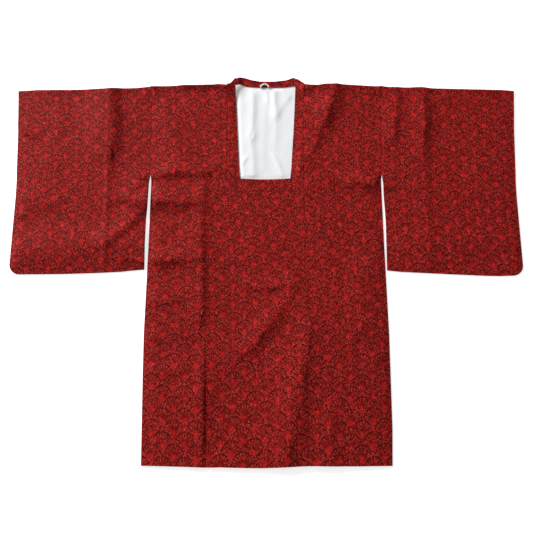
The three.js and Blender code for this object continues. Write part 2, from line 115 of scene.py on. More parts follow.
# A plan line that differs between the sides has the wearer's right at -1 and the left at 1.
armhole = ((-10, 296), (120, 295), (243, 292), (262, 289.5))
side_seam = {
    -1: through(*armhole, (440, 290), (650, 292.5), (750, 291), (960, 286.4)),
    1: through(*armhole, (440, 291), (650, 294), (870, 292.6), (960, 289)),
}
sleeve_armhole = ((-10, 296), (44, 295.6), (123, 295), (243, 292))
sleeve_inner = {
    -1: through(*sleeve_armhole, (266, 295), (335, 296.8), (366, 298.6), (428, 299), (510, 297)),
    1: through(*sleeve_armhole, (266, 294.5), (300, 294.5), (366, 296.9), (510, 295)),
}
hem_drop = through(
    (-290, 0.9), (-237, 1.5), (-145, 2.4), (-109, 1), (-20, 1.3), (30, 0), (85, -1.8),
    (116, -1.6), (150, 0), (215, 1.4),
)
sleeve_outer = through((-10, 646), (44, 642), (123, 636), (243, 630), (266, 629), (300, 628), (510, 628.5))
sleeve_top = {
    -1: through(
        (292, -1), (330, 3.4), (380, 5.4), (400, 6.8), (418, 8.6), (526, 9.4), (600, 9.8),
        (646, 12.8),
    ),
    1: through(
        (292, -1), (315, 1.3), (351, 2.6), (388, 2.4), (425, 4.8), (461, 5.4), (534, 7.5),
        (608, 9), (646, 12),
    ),
}
sleeve_bottom = {
    -1: through((292, 492.4), (322, 494.4), (356, 497.7), (425, 500.8), (528, 503.6), (646, 504.4)),
    1: through((292, 494.6), (329, 498), (398, 501), (466, 504), (569, 508), (610, 508.6), (646, 507.4)),
}
shoulder_fold_of = {
    -1: through(
        (0, -5), (97, -4.6), (108, -6), (124, -6.8), (140, -5), (160, -4.4), (200, -3.6),
        (245, -1.6), (290, -0.6),
    ),
    1: through(
        (0, -5), (97, -7.5), (104, -7), (112, -4), (135, -2.6), (152, -5.5), (165, -8),
        (176, -7.6), (200, -6), (245, -3.2), (290, -0.4),
    ),
}
neck_edge = {
    -1: through(
        (-25, 70.5), (-18, 76.4), (-2, 78.2), (56, 75.2), (123, 71.9), (178, 69.1), (233, 66.1),
        (257, 63.5),
    ),
    1: through(
        (-25, 71), (-18, 76.5), (-2, 78), (56, 75.6), (123, 72.3), (178, 68.7), (233, 65.2),
        (257, 62.5),
    ),
}
collar_outline = {
    -1: through(
        (0, -12.6), (14, -12.6), (38, -17.3), (54, -23), (65, -23), (74, -19.6), (80, -12.6),
        (86, -6.6), (97, -1), (103, -1),
    ),
    1: through(
        (0, -12.6), (25, -12.7), (53, -16.2), (61, -19), (71, -24), (82, -19), (92, -12.6),
        (103, -7.6),
    ),
}
collar_foot = {
    -1: through((0, 4), (28, 3), (50, 1.2), (62, -2.6), (74, 0), (95, 3)),
    1: through((0, 4), (33, 4), (48, 3.3), (64, 1), (80, -1.4), (95, 0)),
}
overlap_edge = through((257, 150), (440, 147), (690, 142), (960, 136))

# A crease is a ridge along a line in the plan. Its shaded side lies towards the wearer's left of
# a line that runs down the coat, and further down from a line that runs to the wearer's right.
# Its lit and shaded sides have widths, and a higher "sharp" makes it steeper.
Crease = namedtuple("Crease", "start end rise lit shaded sharp")


def crease_table(*rows):
    return [Crease(*row) for row in rows]


CREASES = crease_table(
    # right sleeve
    ((-407, -12), (-392, 162), 11.6, 56, 20, 1.8),
    ((-296, 1), (-640, 10), 4.4, 8, 17, 1.6),
    ((-404, 190), (-392, 470), 2.0, 7, 6, 1.6),
    ((-396, 200), (-388, 300), 1.8, 40, 22, 1.6),
    ((-300, 320), (-324, 362), 2.2, 26, 11, 1.6),
    ((-324, 362), (-391, 427), 4.2, 28, 12, 1.6),
    ((-314, 268), (-352, 300), 2.4, 26, 12, 1.6),
    ((-288, 320), (-334, 322), 6.5, 28, 14, 1.6),
    ((-514, 322), (-620, 334), 1.8, 22, 12, 1.6),
    ((-596, 138), (-638, 112), 3.2, 16, 9, 1.5),
    ((-575, 308), (-622, 314), 2.4, 18, 8, 1.5),
    ((-590, 352), (-630, 362), 2.6, 18, 8, 1.5),
    ((-310, 430), (-606, 440), 6.0, 44, 34, 1.8),
    ((-540, 60), (-556, 300), 1.5, 56, 46, 2.0),
    # right front
    ((-235, 247), (-298, 257), 4.6, 28, 8, 1.6),
    ((-140, 244), (-235, 247), 4.4, 24, 7, 1.6),
    ((-74, 252), (-140, 244), 3.2, 20, 7, 1.6),
    ((-214, 325), (-300, 320), 9.4, 40, 15, 1.35),
    ((-196, 474), (-240, 473), 5.6, 34, 14, 1.4),
    ((-240, 473), (-300, 472), 6.6, 40, 15, 1.4),
    ((-228, 572), (-292, 572), 3.4, 30, 13, 1.6),
    ((-226, 660), (-290, 660), 3.0, 30, 13, 1.6),
    ((-220, 742), (-288, 742), 2.8, 30, 14, 1.6),
    ((-159, 400), (-154, 600), 5.6, 40, 12, 1.5),
    ((-154, 600), (-150, 780), 0.6, 36, 14, 1.6),
    ((-150, 780), (-145, 962), 4.8, 44, 15, 1.5),
    ((-158, 262), (-159, 400), 4.0, 26, 10, 1.6),
    ((-236, 90), (-214, 232), 1.8, 46, 38, 2.0),
    ((-246, 770), (-232, 950), 2.0, 40, 32, 2.0),
    # shoulders
    ((-96, -5), (-215, -3), 7.5, 8, 14, 1.8),
    ((-215, -3), (-292, 1), 5.6, 8, 18, 1.6),
    ((146, -4), (96, -3), 9.0, 8, 16, 1.9),
    ((292, 0), (190, -5), 5.2, 8, 16, 1.6),
    ((182, -14), (170, 50), 7.2, 40, 19, 1.5),
    ((170, 50), (154, 96), 6.4, 38, 19, 1.5),
    ((154, 96), (106, 205), 4.2, 32, 17, 1.6),
    # left sleeve
    ((344, -12), (333, 95), 4.2, 30, 14, 1.5),
    ((333, 95), (317, 152), 3.8, 28, 14, 1.6),
    ((409, -14), (407, 95), 7.6, 36, 18, 1.4),
    ((407, 95), (400, 180), 6.0, 34, 17, 1.4),
    ((640, 10), (296, 2), 3.4, 8, 15, 1.6),
    ((404, 190), (396, 488), 2.2, 30, 14, 1.6),
    ((560, 40), (548, 300), 1.5, 56, 46, 2.0),
    ((630, 430), (310, 438), 2.4, 36, 28, 1.8),
    # left front and its overlap panel
    ((250, 275), (196, 269), 4.6, 28, 10, 1.5),
    ((302, 280), (246, 272), 6.2, 28, 12, 1.6),
    ((-66, 476), (-140, 472), 1.8, 22, 12, 1.6),
    ((4, 541), (-48, 536), 3.2, 20, 7, 1.6),
    ((60, 533), (4, 541), 3.0, 20, 7, 1.6),
    ((62, 560), (12, 628), 4.2, 34, 15, 1.5),
    ((12, 628), (-42, 692), 5.8, 34, 16, 1.4),
    ((100, 600), (96, 713), 4.4, 50, 24, 1.5),
    ((96, 713), (78, 800), 6.8, 52, 22, 1.5),
    ((78, 800), (66, 875), 7.2, 52, 22, 1.5),
    ((66, 875), (48, 962), 7.4, 50, 24, 1.6),
    ((150, 640), (120, 962), 4.5, 60, 130, 1.8),
    ((-146, 690), (-140, 810), 3.0, 14, 36, 1.7),
    ((146, 850), (150, 960), 3.6, 28, 15, 1.6),
    ((-58, 850), (-66, 960), 2.6, 40, 30, 1.8),
    ((244, 470), (222, 640), 2.8, 40, 34, 1.8),
    ((290, 498), (228, 508), 2.0, 20, 12, 1.5),
    ((236, 632), (206, 664), 1.8, 20, 13, 1.5),
    ((286, 700), (236, 716), 1.6, 24, 14, 1.6),
    ((214, 770), (206, 940), 2.2, 40, 34, 1.8),
)

# Creases pressed into the cloth of the back by lying on it, as shallow grooves in the underside.
BACK_CREASES = crease_table(
    ((-130, 60), (-116, 300), 0.8, 16, 10, 1.6),
    ((150, 40), (128, 260), 0.7, 18, 12, 1.6),
    ((-150, 470), (-286, 492), 0.8, 14, 9, 1.5),
    ((282, 520), (140, 500), 0.7, 14, 9, 1.5),
    ((40, 430), (-70, 690), 0.8, 22, 14, 1.7),
    ((110, 600), (60, 940), 0.8, 24, 15, 1.7),
    ((-180, 600), (-196, 950), 0.6, 22, 16, 1.8),
    ((-420, 20), (-404, 330), 0.8, 16, 11, 1.6),
    ((-520, 380), (-330, 420), 0.6, 18, 12, 1.7),
    ((410, 20), (392, 300), 0.8, 16, 11, 1.6),
    ((560, 340), (340, 400), 0.6, 18, 12, 1.7),
)

# Creases of the white lining inside the neck.
LINING_CREASES = crease_table(
    ((-80, -4), (-62, 60), 1.2, 14, 20, 1.7),
    ((-70, 56), (-58, 250), 1.3, 8, 26, 1.8),
    ((-33, 24), (-32, 140), 2.6, 16, 10, 1.6),
    ((-32, 140), (-28, 262), 2.0, 16, 10, 1.6),
    ((24, 16), (28, 84), 2.4, 15, 10, 1.6),
    ((28, 84), (24, 176), 0.9, 14, 10, 1.7),
    ((3, 10), (6, 44), 1.2, 8, 5, 1.5),
    ((40, 8), (58, 30), 1.3, 8, 6, 1.5),
    ((62, 30), (32, 78), 0.9, 12, 8, 1.6),
    ((-46, 200), (-66, 224), 1.2, 9, 6, 1.5),
    ((24, 196), (48, 252), 1.5, 11, 7, 1.5),
    ((-4, 60), (-6, 225), 0.8, 14, 11, 1.8),
)


def mix(start, end, share):
    return start + (end - start) * share


def ease(distance, run):
    share = np.clip(distance / run, 0, 1)
    return share * share * (3 - 2 * share)


def turned(distance):
    """0 at an edge where cloth turns under, 1 where it lies flat, along a quarter circle."""
    short = 1 - np.clip(distance / ROLL, 0, 1)
    return np.sqrt(1 - short * short)


def by_side(lines, across, at):
    """The value of a plan line that is given for each side, on the sides that the places are on."""
    return np.where(across < 0, lines[-1](at), lines[1](at))


def shoulder_fold(across):
    return by_side(shoulder_fold_of, across, np.abs(across))


def hem(across):
    return HEM_DOWN + HEM_BOW * (1 - ease(np.abs(across), SIDE_HALF_WIDTH)) + hem_drop(across)


def neck_bottom(across):
    return NECK_DOWN + NECK_BOW * (1 - np.clip(np.abs(across) / NECK_BOTTOM_HALF, 0, 1) ** 2)


def band_outer(down):
    return BAND_OUTER + BAND_FLARE * (1 - ease(down, BAND_FLARE_RUN))


def seam_dip(distance):
    return -SEAM_DIP * np.exp(-distance / SEAM_DIP_RUN)


def unevenness(seed, across, down, pitch):
    """Smooth random waves in the plan, from -1 to 1, about this far apart."""
    size = 64
    knots = np.random.default_rng(seed).uniform(-1, 1, (size, size))
    a, d = across / pitch + size / 2, down / pitch + size / 4
    i, j = np.floor(a).astype(int), np.floor(d).astype(int)
    s, t = ease(a - i, 1), ease(d - j, 1)
    near = mix(knots[i % size, j % size], knots[(i + 1) % size, j % size], s)
    far = mix(knots[i % size, (j + 1) % size], knots[(i + 1) % size, (j + 1) % size], s)
    return mix(near, far, t)


def waved(table, across, down):
    """1 and the waves of a table, which has rows of a seed, a share of the height and a size."""
    return 1 + sum(share * unevenness(seed, across, down, pitch) for seed, share, pitch in table)


def creased(creases, across, down):
    """How far a table of creases lifts the cloth at places in the plan."""
    across = across + CREASE_WANDER * unevenness(3, across, down, WANDER_SIZE)
    down = down + CREASE_WANDER * unevenness(4, across, down, WANDER_SIZE)
    total = np.zeros_like(across)
    for crease in creases:
        run_a = crease.end[0] - crease.start[0]
        run_d = crease.end[1] - crease.start[1]
        length = math.hypot(run_a, run_d)
        a, d = across - crease.start[0], down - crease.start[1]
        along = (a * run_a + d * run_d) / length**2
        beside = (a * run_d - d * run_a) / length
        beyond = np.maximum(0, np.abs(along - 0.5) - 0.5) * length
        width = np.where(beside > 0, crease.shaded, crease.lit)
        away = np.hypot(beside, beyond) / width
        full = mix(CREASE_ENDS, 1, np.sin(np.pi * np.clip(along, 0, 1)))
        total += crease.rise * full * np.exp(-(away**crease.sharp))
    return total


class Layers:
    """Heights of the cloths that lie on each other, in millimetres."""

    def __init__(self, cloth):
        self.cloth = cloth.thickness / MM
        self.gap = cloth.seam_gap / MM
        self.lining = cloth.lining_thickness / MM
        self.pitch = cloth.pitch / MM
        self.folds = cloth.fold_height
        self.waves = cloth.waves / MM
        self.step = self.cloth + self.gap  # underside of what lies on one cloth
        self.free = self.step + self.lining + self.gap  # underside of a front over the lining
        self.middle = (self.step + self.cloth) / 2  # where upper and under cloth meet
        self.fronts = {-1: self.right_front, 1: self.left_front}
        self.overlaps = {-1: self.hidden, 1: self.over}

    def grid(self, width, length, share=1):
        """Grid lines across and down a panel, at this share of the pitch."""
        return grid_lines(width, share * self.pitch), grid_lines(length, share * self.pitch)

    def lift(self, across, down):
        """How far creases and soft waves raise the upper cloth."""
        height = self.folds * creased(CREASES, across, down)
        height = np.maximum(height + self.waves * waved(UPPER_WAVES, across, down), 0)
        above = np.maximum(height - SOFT_LIFT, 0)
        return np.minimum(height, SOFT_LIFT) + SOFTENING * np.tanh(above / SOFTENING)

    def groove(self, across, down):
        """How far the underside of the back stands off the floor."""
        depth = creased(BACK_CREASES, across, down)
        depth = depth + GROOVE_WAVE_HEIGHT * waved(GROOVE_WAVES, across, down)
        from_lining = np.maximum(np.abs(across) - LINING_HALF, down - LINING_BOTTOM_DOWN)
        share = mix(GROOVE_BY_LINING, 1, ease(from_lining, LINING_CLEAR))
        return np.minimum(depth, DEEPEST_GROOVE) * share

    def front(self, across, down, raised, lifted=0):
        """Underside of a front: raised onto what lies below it, and lifted by its creases."""
        to_side = by_side(side_seam, across, down) - np.abs(across)
        to_fold = down - shoulder_fold(across)
        base = mix(self.step, self.free + raised, ease(np.minimum(to_side, to_fold), SOFT_EDGE))
        sewn = ease(down - ARMHOLE_DOWN, SEAM_RUN)
        return base + lifted * ease(to_fold, FOLD_RUN) * mix(1, ease(to_side, SEAM_RUN), sewn)

    def hidden(self, across, down):
        return self.front(across, down, 0)

    def right_front(self, across, down):
        outside_lap = ease(-across - RIGHT_FOLDS_LIMIT, RIGHT_FOLDS_RUN)
        above_neck = 1 - ease(down - (NECK_DOWN - LAP_RUN), LAP_RUN)
        shows = np.maximum(outside_lap, above_neck)
        return self.front(across, down, 0, self.lift(across, down) * shows)

    def over(self, across, down):
        return self.front(across, down, self.step, self.lift(across, down))

    def left_front(self, across, down):
        onto_panel = 1 - ease(across - LAP_LIMIT, LAP_RUN)
        below_neck = ease(down - (NECK_DOWN - 2 * LAP_RUN), 1.5 * LAP_RUN)
        raised = self.step * onto_panel * below_neck
        return self.front(across, down, raised, self.lift(across, down))

    def band(self, side, beside):
        """The band lies flat at the neck, and stands up at the fold where the front comes down."""

        def height(across, down):
            stand = STAND_RISE[side] * (1 - ease(down - STAND_FROM, STAND_RUN))
            from_neck = ease(np.abs(across) - neck_edge[side](down), BAND_LEVEL_SHARE * BAND_WIDTH)
            return mix(self.free, np.maximum(beside(across, down), self.free), from_neck) + stand

        return height

    def corner_climb(self, across):
        """How far the back band climbs towards the end of a side's band."""
        climb = np.where(across < 0, STAND_RISE[-1], STAND_RISE[1]) - self.step
        return np.maximum(climb, 0) * ease(np.abs(across) - BAND_CORNER_FROM, BAND_CORNER_RUN)

    def back_band(self, across, down):
        to_fold = ease(by_side(collar_foot, across, np.abs(across)) - down, BACK_BAND_RUN)
        behind_neck = 1 - ease(np.abs(across) - BACK_BAND_LEVEL, BACK_BAND_FADE)
        return self.free + BACK_BAND_RISE * to_fold * behind_neck + self.corner_climb(across)


# ---- the print's grain ----
# The cloth is drawn out towards the hem, so two rows of the print take up more of its length.
PRINT_REPEAT, ROW_PITCH = 45.6, 5.0
BAND_SIDE_PRINT, BAND_PRINT, BACK_BAND_PRINT = 8.75, 9, 6  # where the print starts on the neck band
two_rows = through((-30, 44.9), (95, 44.9), (353, 45.5), (593, 46.5), (730, 49.5), (880, 55.2), (970, 56.5))
PLAN_ROWS = np.arange(-40, 1000, ROW_PITCH)
BETWEEN_ROWS = PLAN_ROWS[:-1] + ROW_PITCH / 2
ROWS_PRINTED = np.concatenate([[0], np.cumsum(ROW_PITCH * PRINT_REPEAT / two_rows(BETWEEN_ROWS))])

# How the print lies on a panel, by how far down: how much its columns lean towards the wearer's
# left and how much its rows fall towards it, both as slopes, where the print starts, and how much
# its rows are drawn together.
Grain = namedtuple("Grain", "lean fall pivot start drawn")
STRAIGHT = ((0, 0), (900, 0))
GRAINS = {
    "front_right": Grain(
        ((140, 0.055), (290, -0.035), (494, -0.035), (666, 0), (835, 0.035)),
        ((140, 0.012), (290, 0.055), (494, 0.015), (666, 0.03), (835, 0.035)),
        -195,
        (-0.5, -7.5),
        1.003,
    ),
    "overlap_left": Grain(
        ((257, 0.15), (382, 0.145), (532, 0.028), (684, 0.009), (861, -0.026)),
        ((257, -0.09), (382, -0.095), (532, -0.11), (684, -0.1), (861, -0.1)),
        0,
        (7.2, 1),
        1.01,
    ),
    "front_left": Grain(
        ((0, -0.045), (141, -0.045), (385, 0.083), (569, 0.038), (732, 0), (870, -0.03)),
        ((141, -0.035), (385, -0.047), (569, -0.058), (732, -0.064), (870, -0.08)),
        195,
        (5, -1.5),
        0.9915,
    ),
    "overlap_right": Grain(STRAIGHT, STRAIGHT, 0, (9, 0), 1),
    "back_right": Grain(STRAIGHT, STRAIGHT, -150, (-0.5, -7.5), 1),
    "back_left": Grain(STRAIGHT, STRAIGHT, 150, (5, -1.5), 1),
    "sleeve_right": Grain(((100, 0.06), (250, 0.03), (420, -0.02)), STRAIGHT, -460, (11.9, -6), 1),
    "sleeve_left": Grain(
        ((130, -0.074), (380, 0.03)), ((130, 0.025), (380, 0.012)), 460, (-5.5, -7.6), 0.977
    ),
}

# How much cloth a panel's creases have taken up, by how far across, in millimetres.
TAKEN_UP = {"sleeve_right": through((-414, 0), (-392, 6), (-340, 7), (-300, 10))}


def rows_down_to(level):
    """Length of print down to a place. The cloth under a fold is printed on from the fold."""
    start = PLAN_ROWS[0]
    run = np.interp(start + np.abs(level - start), PLAN_ROWS, ROWS_PRINTED)
    return np.where(level < start, -run, run)


def printed(panel, across, down):
    """Place of the cloth in its panel's print, in metres: to the right, and up the coat."""
    grain = GRAINS[panel]
    if panel in TAKEN_UP:
        across = across + TAKEN_UP[panel](across)
    drift = np.cumsum(through(*grain.lean)(PLAN_ROWS)) * ROW_PITCH
    drift -= np.interp(NECK_DOWN, PLAN_ROWS, drift)
    right = across - np.interp(down, PLAN_ROWS, drift)
    level = down - (across - grain.pivot) * through(*grain.fall)(down)
    rows = rows_down_to(level * grain.drawn)
    return (right + grain.start[0]) * MM, -(rows + grain.start[1]) * MM


# ---- making cloth ----
back_right_box, back_left_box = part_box("back_right"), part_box("back_left")
CENTRE_X = (back_right_box[1].x + back_left_box[0].x) / 2
SHOULDER_Y = back_left_box[0].y + (HEM_DOWN + HEM_BOW - BACK_HEM_SHORT) * MM


def grid_lines(length, pitch):
    """Shares of a length for grid lines: evenly spaced, and closer beside its two edges."""
    beside = EDGE_LINES[-1]
    count = max(2, round((length - beside - beside) / pitch) + 1)
    inner = np.linspace(beside, length - beside, count)
    end = [length - line for line in EDGE_LINES[-2::-1]]
    return np.concatenate([EDGE_LINES[:-1], inner, end]) / length


def as_laid(across, down):
    """The plan, a little askew as the coat is laid."""
    beside = np.exp(-((across / NECK_SHIFT_WIDTH) ** 2))
    return across + NECK_SHIFT * beside * (1 - ease(down - NECK_DOWN, NECK_SHIFT_RUN))


def new_sheet(name, us, vs, place):
    """A sheet of cloth from a grid. place(u, v) gives across, down, height and print place."""
    bpy.ops.object.select_all(action="DESELECT")
    bpy.ops.mesh.primitive_grid_add(x_subdivisions=len(us) - 1, y_subdivisions=len(vs) - 1, size=2)
    piece = bpy.context.object
    piece.name = piece.data.name = name
    mesh = piece.data
    points = np.empty(3 * len(mesh.vertices))
    mesh.vertices.foreach_get("co", points)
    points = points.reshape(-1, 3)
    u = us[np.rint((points[:, 0] + 1) / 2 * (len(us) - 1)).astype(int)]
    v = vs[np.rint((1 - points[:, 1]) / 2 * (len(vs) - 1)).astype(int)]
    across, down, height, (right, up) = place(u, v)
    points[:, 0] = CENTRE_X + as_laid(across, down) * MM
    points[:, 1] = SHOULDER_Y - down * MM
    points[:, 2] = height * MM
    mesh.vertices.foreach_set("co", points.ravel())
    corners = np.empty(len(mesh.loops), dtype=int)
    mesh.loops.foreach_get("vertex_index", corners)
    mesh.uv_layers[0].name = "cut"
    mesh.uv_layers[0].data.foreach_set("uv", np.column_stack([right, up])[corners].ravel())
    mesh.update()
    return piece


def face_outwards(piece, outward):
    """Turns the faces over unless outward(normals, centres) says that they face out."""
    mesh = piece.data
    normals = np.array([face.normal for face in mesh.polygons])
    centres = np.array([face.center for face in mesh.polygons])
    if outward(normals, centres) < 0:
        bpy.ops.object.mode_set(mode="EDIT")
        bpy.ops.mesh.select_all(action="SELECT")
        bpy.ops.mesh.flip_normals()
        bpy.ops.object.mode_set(mode="OBJECT")


def facing_up(normals, centres):
    return normals[:, 2].sum()


def facing_down(normals, centres):
    return -normals[:, 2].sum()


def facing_out(normals, centres):
    return (normals[:, 2] * (centres[:, 2] - centres[:, 2].mean())).sum()


def apply_all(piece):
    for modifier in list(piece.modifiers):
        bpy.ops.object.modifier_apply(modifier=modifier.name)


def thicken(piece, thickness, rounding=RIM_ROUNDING):
    """Gives a sheet its thickness on its inner side, and rounds its cut edges."""
    wall = piece.modifiers.new("thickness", "SOLIDIFY")
    wall.thickness = thickness * MM
    wall.offset = -1
    rim = piece.modifiers.new("rounded rim", "BEVEL")
    rim.limit_method = "ANGLE"
    rim.angle_limit = RIM_ABOVE
    rim.width = rounding * MM
    rim.segments = 2
    apply_all(piece)
    bpy.ops.object.shade_smooth_by_angle(angle=SMOOTH_BELOW)


def dress(piece, material, nodes):
    """Gives a finished piece its material and its place in the frame."""
    piece.data.materials.append(material)
    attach(piece, "root")
    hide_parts(*nodes)


# ---- wiring of materials ----
RED_THREAD, WHITE_THREAD, RELIEF_DEPTH = 0.0008, 0.0011, 0.0002  # in metres


class Wiring:
    """Adds nodes to one tree. A value is a number, a colour or another node's socket."""

    def __init__(self, tree):
        self.tree = tree

    def node(self, kind, inputs=None, **settings):
        node = self.tree.nodes.new(kind)
        for key, value in settings.items():
            setattr(node, key, value)
        for key, value in (inputs or {}).items():
            self.feed(node.inputs[key], value)
        return node

    def feed(self, socket, value):
        if isinstance(value, bpy.types.NodeSocket):
            self.tree.links.new(value, socket)
        else:
            socket.default_value = value

    def math(self, operation, *values, clamp=False):
        node = self.tree.nodes.new("ShaderNodeMath")
        node.operation = operation
        node.use_clamp = clamp
        for socket, value in zip(node.inputs, values):
            self.feed(socket, value)
        return node.outputs[0]

    def vector(self, operation, inputs):
        return self.node("ShaderNodeVectorMath", inputs, operation=operation).outputs[0]

    def plus(self, a, b):
        return self.math("ADD", a, b)

    def minus(self, a, b):
        return self.math("SUBTRACT", a, b)

    def times(self, a, b):
        return self.math("MULTIPLY", a, b)

    def most(self, first, *others):
        for other in others:
            first = self.math("MAXIMUM", first, other)
        return first

    def hypot(self, a, b):
        return self.math("SQRT", self.plus(self.times(a, a), self.times(b, b)))

    def blur_step(self, value, start, end):
        """0 before start and 1 past end, softly."""
        settings = {"interpolation_type": "SMOOTHSTEP"}
        inputs = {"Value": value, "From Min": start, "From Max": end}
        return self.node("ShaderNodeMapRange", inputs, **settings).outputs["Result"]

    def band(self, value, centre, half, soft):
        """1 within half of the centre, and 0 beyond half and soft together."""
        away = self.math("ABSOLUTE", self.minus(value, centre))
        return self.blur_step(away, half + soft, half)

    def blend(self, share, below, above):
        node = self.node("ShaderNodeMix", data_type="RGBA")
        colours = [socket for socket in node.inputs if socket.type == "RGBA"]
        self.feed(node.inputs["Factor"], share)
        self.feed(colours[0], below)
        self.feed(colours[1], above)
        return next(socket for socket in node.outputs if socket.type == "RGBA")

    def noise(self, vector, scale, detail=2.0, roughness=0.5):
        inputs = {"Vector": vector, "Scale": scale, "Detail": detail, "Roughness": roughness}
        return self.node("ShaderNodeTexNoise", inputs).outputs["Fac"]

    def group(self, name, maker, inputs):
        """The outputs of a shared group, which maker() makes if it isn't there yet."""
        tree = bpy.data.node_groups.get(name) or maker()
        return self.node("ShaderNodeGroup", inputs, node_tree=tree).outputs

    def surface(self, shader, colour, roughness, height, strength):
        """Wires a shader's colour, roughness and relief."""
        relief = {"Strength": strength, "Distance": RELIEF_DEPTH, "Height": height}
        self.feed(shader.inputs["Base Color"], colour)
        self.feed(shader.inputs["Roughness"], roughness)
        self.feed(shader.inputs["Normal"], self.node("ShaderNodeBump", relief).outputs["Normal"])


def new_group(name, inputs, outputs):
    """An empty shader node group: its wiring, its input sockets and its output node."""
    group = bpy.data.node_groups.new(name, "ShaderNodeTree")
    for label, kind, value in inputs:
        socket = group.interface.new_socket(label, in_out="INPUT", socket_type=kind)
        if value is not None:
            socket.default_value = value
    for label, kind in outputs:
        group.interface.new_socket(label, in_out="OUTPUT", socket_type=kind)
    wiring = Wiring(group)
    source = wiring.node("NodeGroupInput").outputs
    return wiring, source, wiring.node("NodeGroupOutput")


FLOAT, COLOUR, VECTOR = "NodeSocketFloat", "NodeSocketColor", "NodeSocketVector"


DASHES, RIBS, PETALS = 17.0, 16.0, 7.0  # in a full turn of one scale


def scale_print():
    """Rows of overlapping round scales. Each has a dark broken arc, ribs and a bright heart."""
    w, source, result = new_group(
        "Scale print",
        [
            ("Vector", VECTOR, None),
            ("Scale width", FLOAT, 0.052),
            ("Row step", FLOAT, 0.0228),
            ("Dome height", FLOAT, 0.025),
            ("Pebbles", FLOAT, 400.0),
            ("Ground", COLOUR, None),
            ("Dark", COLOUR, None),
            ("Heart", COLOUR, None),
            ("Pale", COLOUR, None),
        ],
        [("Color", COLOUR), ("Height", FLOAT)],
    )
    wobble = w.node("ShaderNodeTexNoise", {"Vector": source["Vector"], "Scale": 90.0, "Detail": 2.0})
    shifted = w.vector("SUBTRACT", {0: wobble.outputs["Color"], 1: (0.5, 0.5, 0.5)})
    small = w.vector("SCALE", {0: shifted, "Scale": 0.0032})
    moved = w.vector("ADD", {0: source["Vector"], 1: small})
    place = w.node("ShaderNodeSeparateXYZ", {"Vector": moved}).outputs

    # Which row and scale a place is in: its own row's, the one in front, or the one behind.
    rows = w.math("DIVIDE", place["Y"], source["Row step"])
    row = w.math("FLOOR", rows)
    odd = w.math("FLOORED_MODULO", row, 2.0)
    columns = w.plus(w.math("DIVIDE", place["X"], source["Scale width"]), w.times(odd, 0.5))
    column = w.math("FLOOR", columns)
    own_x = w.math("ABSOLUTE", w.minus(w.times(w.minus(columns, column), 2.0), 1.0))
    other_x = w.minus(1.0, own_x)
    step = w.math("DIVIDE", source["Row step"], source["Dome height"])
    own_y = w.times(w.minus(rows, row), step)
    in_front = w.math("LESS_THAN", w.hypot(other_x, w.plus(own_y, step)), 1.0)
    not_front = w.minus(1.0, in_front)
    in_own = w.times(w.math("LESS_THAN", w.hypot(own_x, own_y), 1.0), not_front)
    behind = w.minus(not_front, in_own)
    x = w.plus(w.times(own_x, in_own), w.times(other_x, w.minus(1.0, in_own)))
    y = w.plus(own_y, w.times(step, w.minus(in_front, behind)))
    owner_row = w.plus(w.minus(row, in_front), behind)
    other_column = w.math("FLOOR", w.plus(columns, w.minus(0.5, odd)))
    owner_column = w.plus(w.times(column, in_own), w.times(other_column, w.minus(1.0, in_own)))
    owner = w.node("ShaderNodeCombineXYZ", {"X": owner_column, "Y": owner_row}).outputs[0]
    chance = w.node("ShaderNodeTexWhiteNoise", {"Vector": owner}).outputs["Value"]

    # The motif, in the scale's own round coordinates.
    away = w.hypot(x, y)
    turn = w.math("ARCTAN2", x, y)
    dashes = w.blur_step(w.math("COSINE", w.times(turn, DASHES)), -0.4, 0.3)
    ticks = w.blur_step(w.math("COSINE", w.times(turn, RIBS)), 0.1, 0.6)
    ribs = w.blur_step(w.math("COSINE", w.plus(w.times(turn, RIBS), math.pi)), 0.1, 0.8)
    shoulder = w.times(w.blur_step(turn, 0.95, 0.7), w.blur_step(turn, 0.12, 0.3))
    arc = w.times(w.band(away, 0.83, 0.042, 0.04), w.most(dashes, shoulder))
    inner_ticks = w.times(w.band(away, 0.56, 0.1, 0.06), w.times(ticks, w.blur_step(turn, 1.5, 1.2)))
    flank = w.times(w.band(x, 0.15, 0.05, 0.06), w.band(y, -0.66, 0.1, 0.08))
    low = w.plus(y, 0.2)
    from_heart = w.hypot(x, low)
    petals = w.math("COSINE", w.times(w.math("ARCTAN2", x, low), PETALS))
    ring = w.times(w.band(from_heart, 0.44, 0.05, 0.06), w.blur_step(petals, -0.6, 0.2))
    dark = w.most(arc, w.times(inner_ticks, 0.6), flank, w.times(ring, 0.5))

    outline = w.times(w.band(away, 0.965, 0.015, 0.03), 0.5)
    rib_lines = w.times(w.times(w.band(away, 0.6, 0.16, 0.06), ribs), 0.55)
    upright = w.times(w.band(x, 0.0, 0.035, 0.05), w.band(y, -0.8, 0.09, 0.06))
    bar = w.times(w.band(x, 0.0, 0.13, 0.06), w.band(y, -0.83, 0.02, 0.04))
    pale = w.most(outline, rib_lines, w.times(upright, 1.6), w.times(bar, 1.0))
    spread = w.plus(0.27, w.times(chance, 0.1))
    heart = w.blur_step(w.plus(from_heart, w.times(petals, 0.04)), spread, 0.1)
    # The pebbles of the crepe, each of which took the dye in its own way.
    pebbles = w.node("ShaderNodeTexVoronoi", {"Vector": source["Vector"], "Scale": source["Pebbles"]})
    lot = w.node("ShaderNodeSeparateXYZ", {"Vector": pebbles.outputs["Color"]}).outputs
    bare = w.blur_step(lot["X"], 0.62, 0.74)
    shadowed = w.times(w.blur_step(lot["Y"], 0.34, 0.2), 0.72)
    shining = w.blur_step(lot["Y"], 0.8, 0.9)
    cloud = w.noise(source["Vector"], 45.0, 2.0)
    shade = w.plus(w.times(w.minus(lot["Z"], 0.5), 0.75), w.times(w.minus(cloud, 0.5), 0.3))

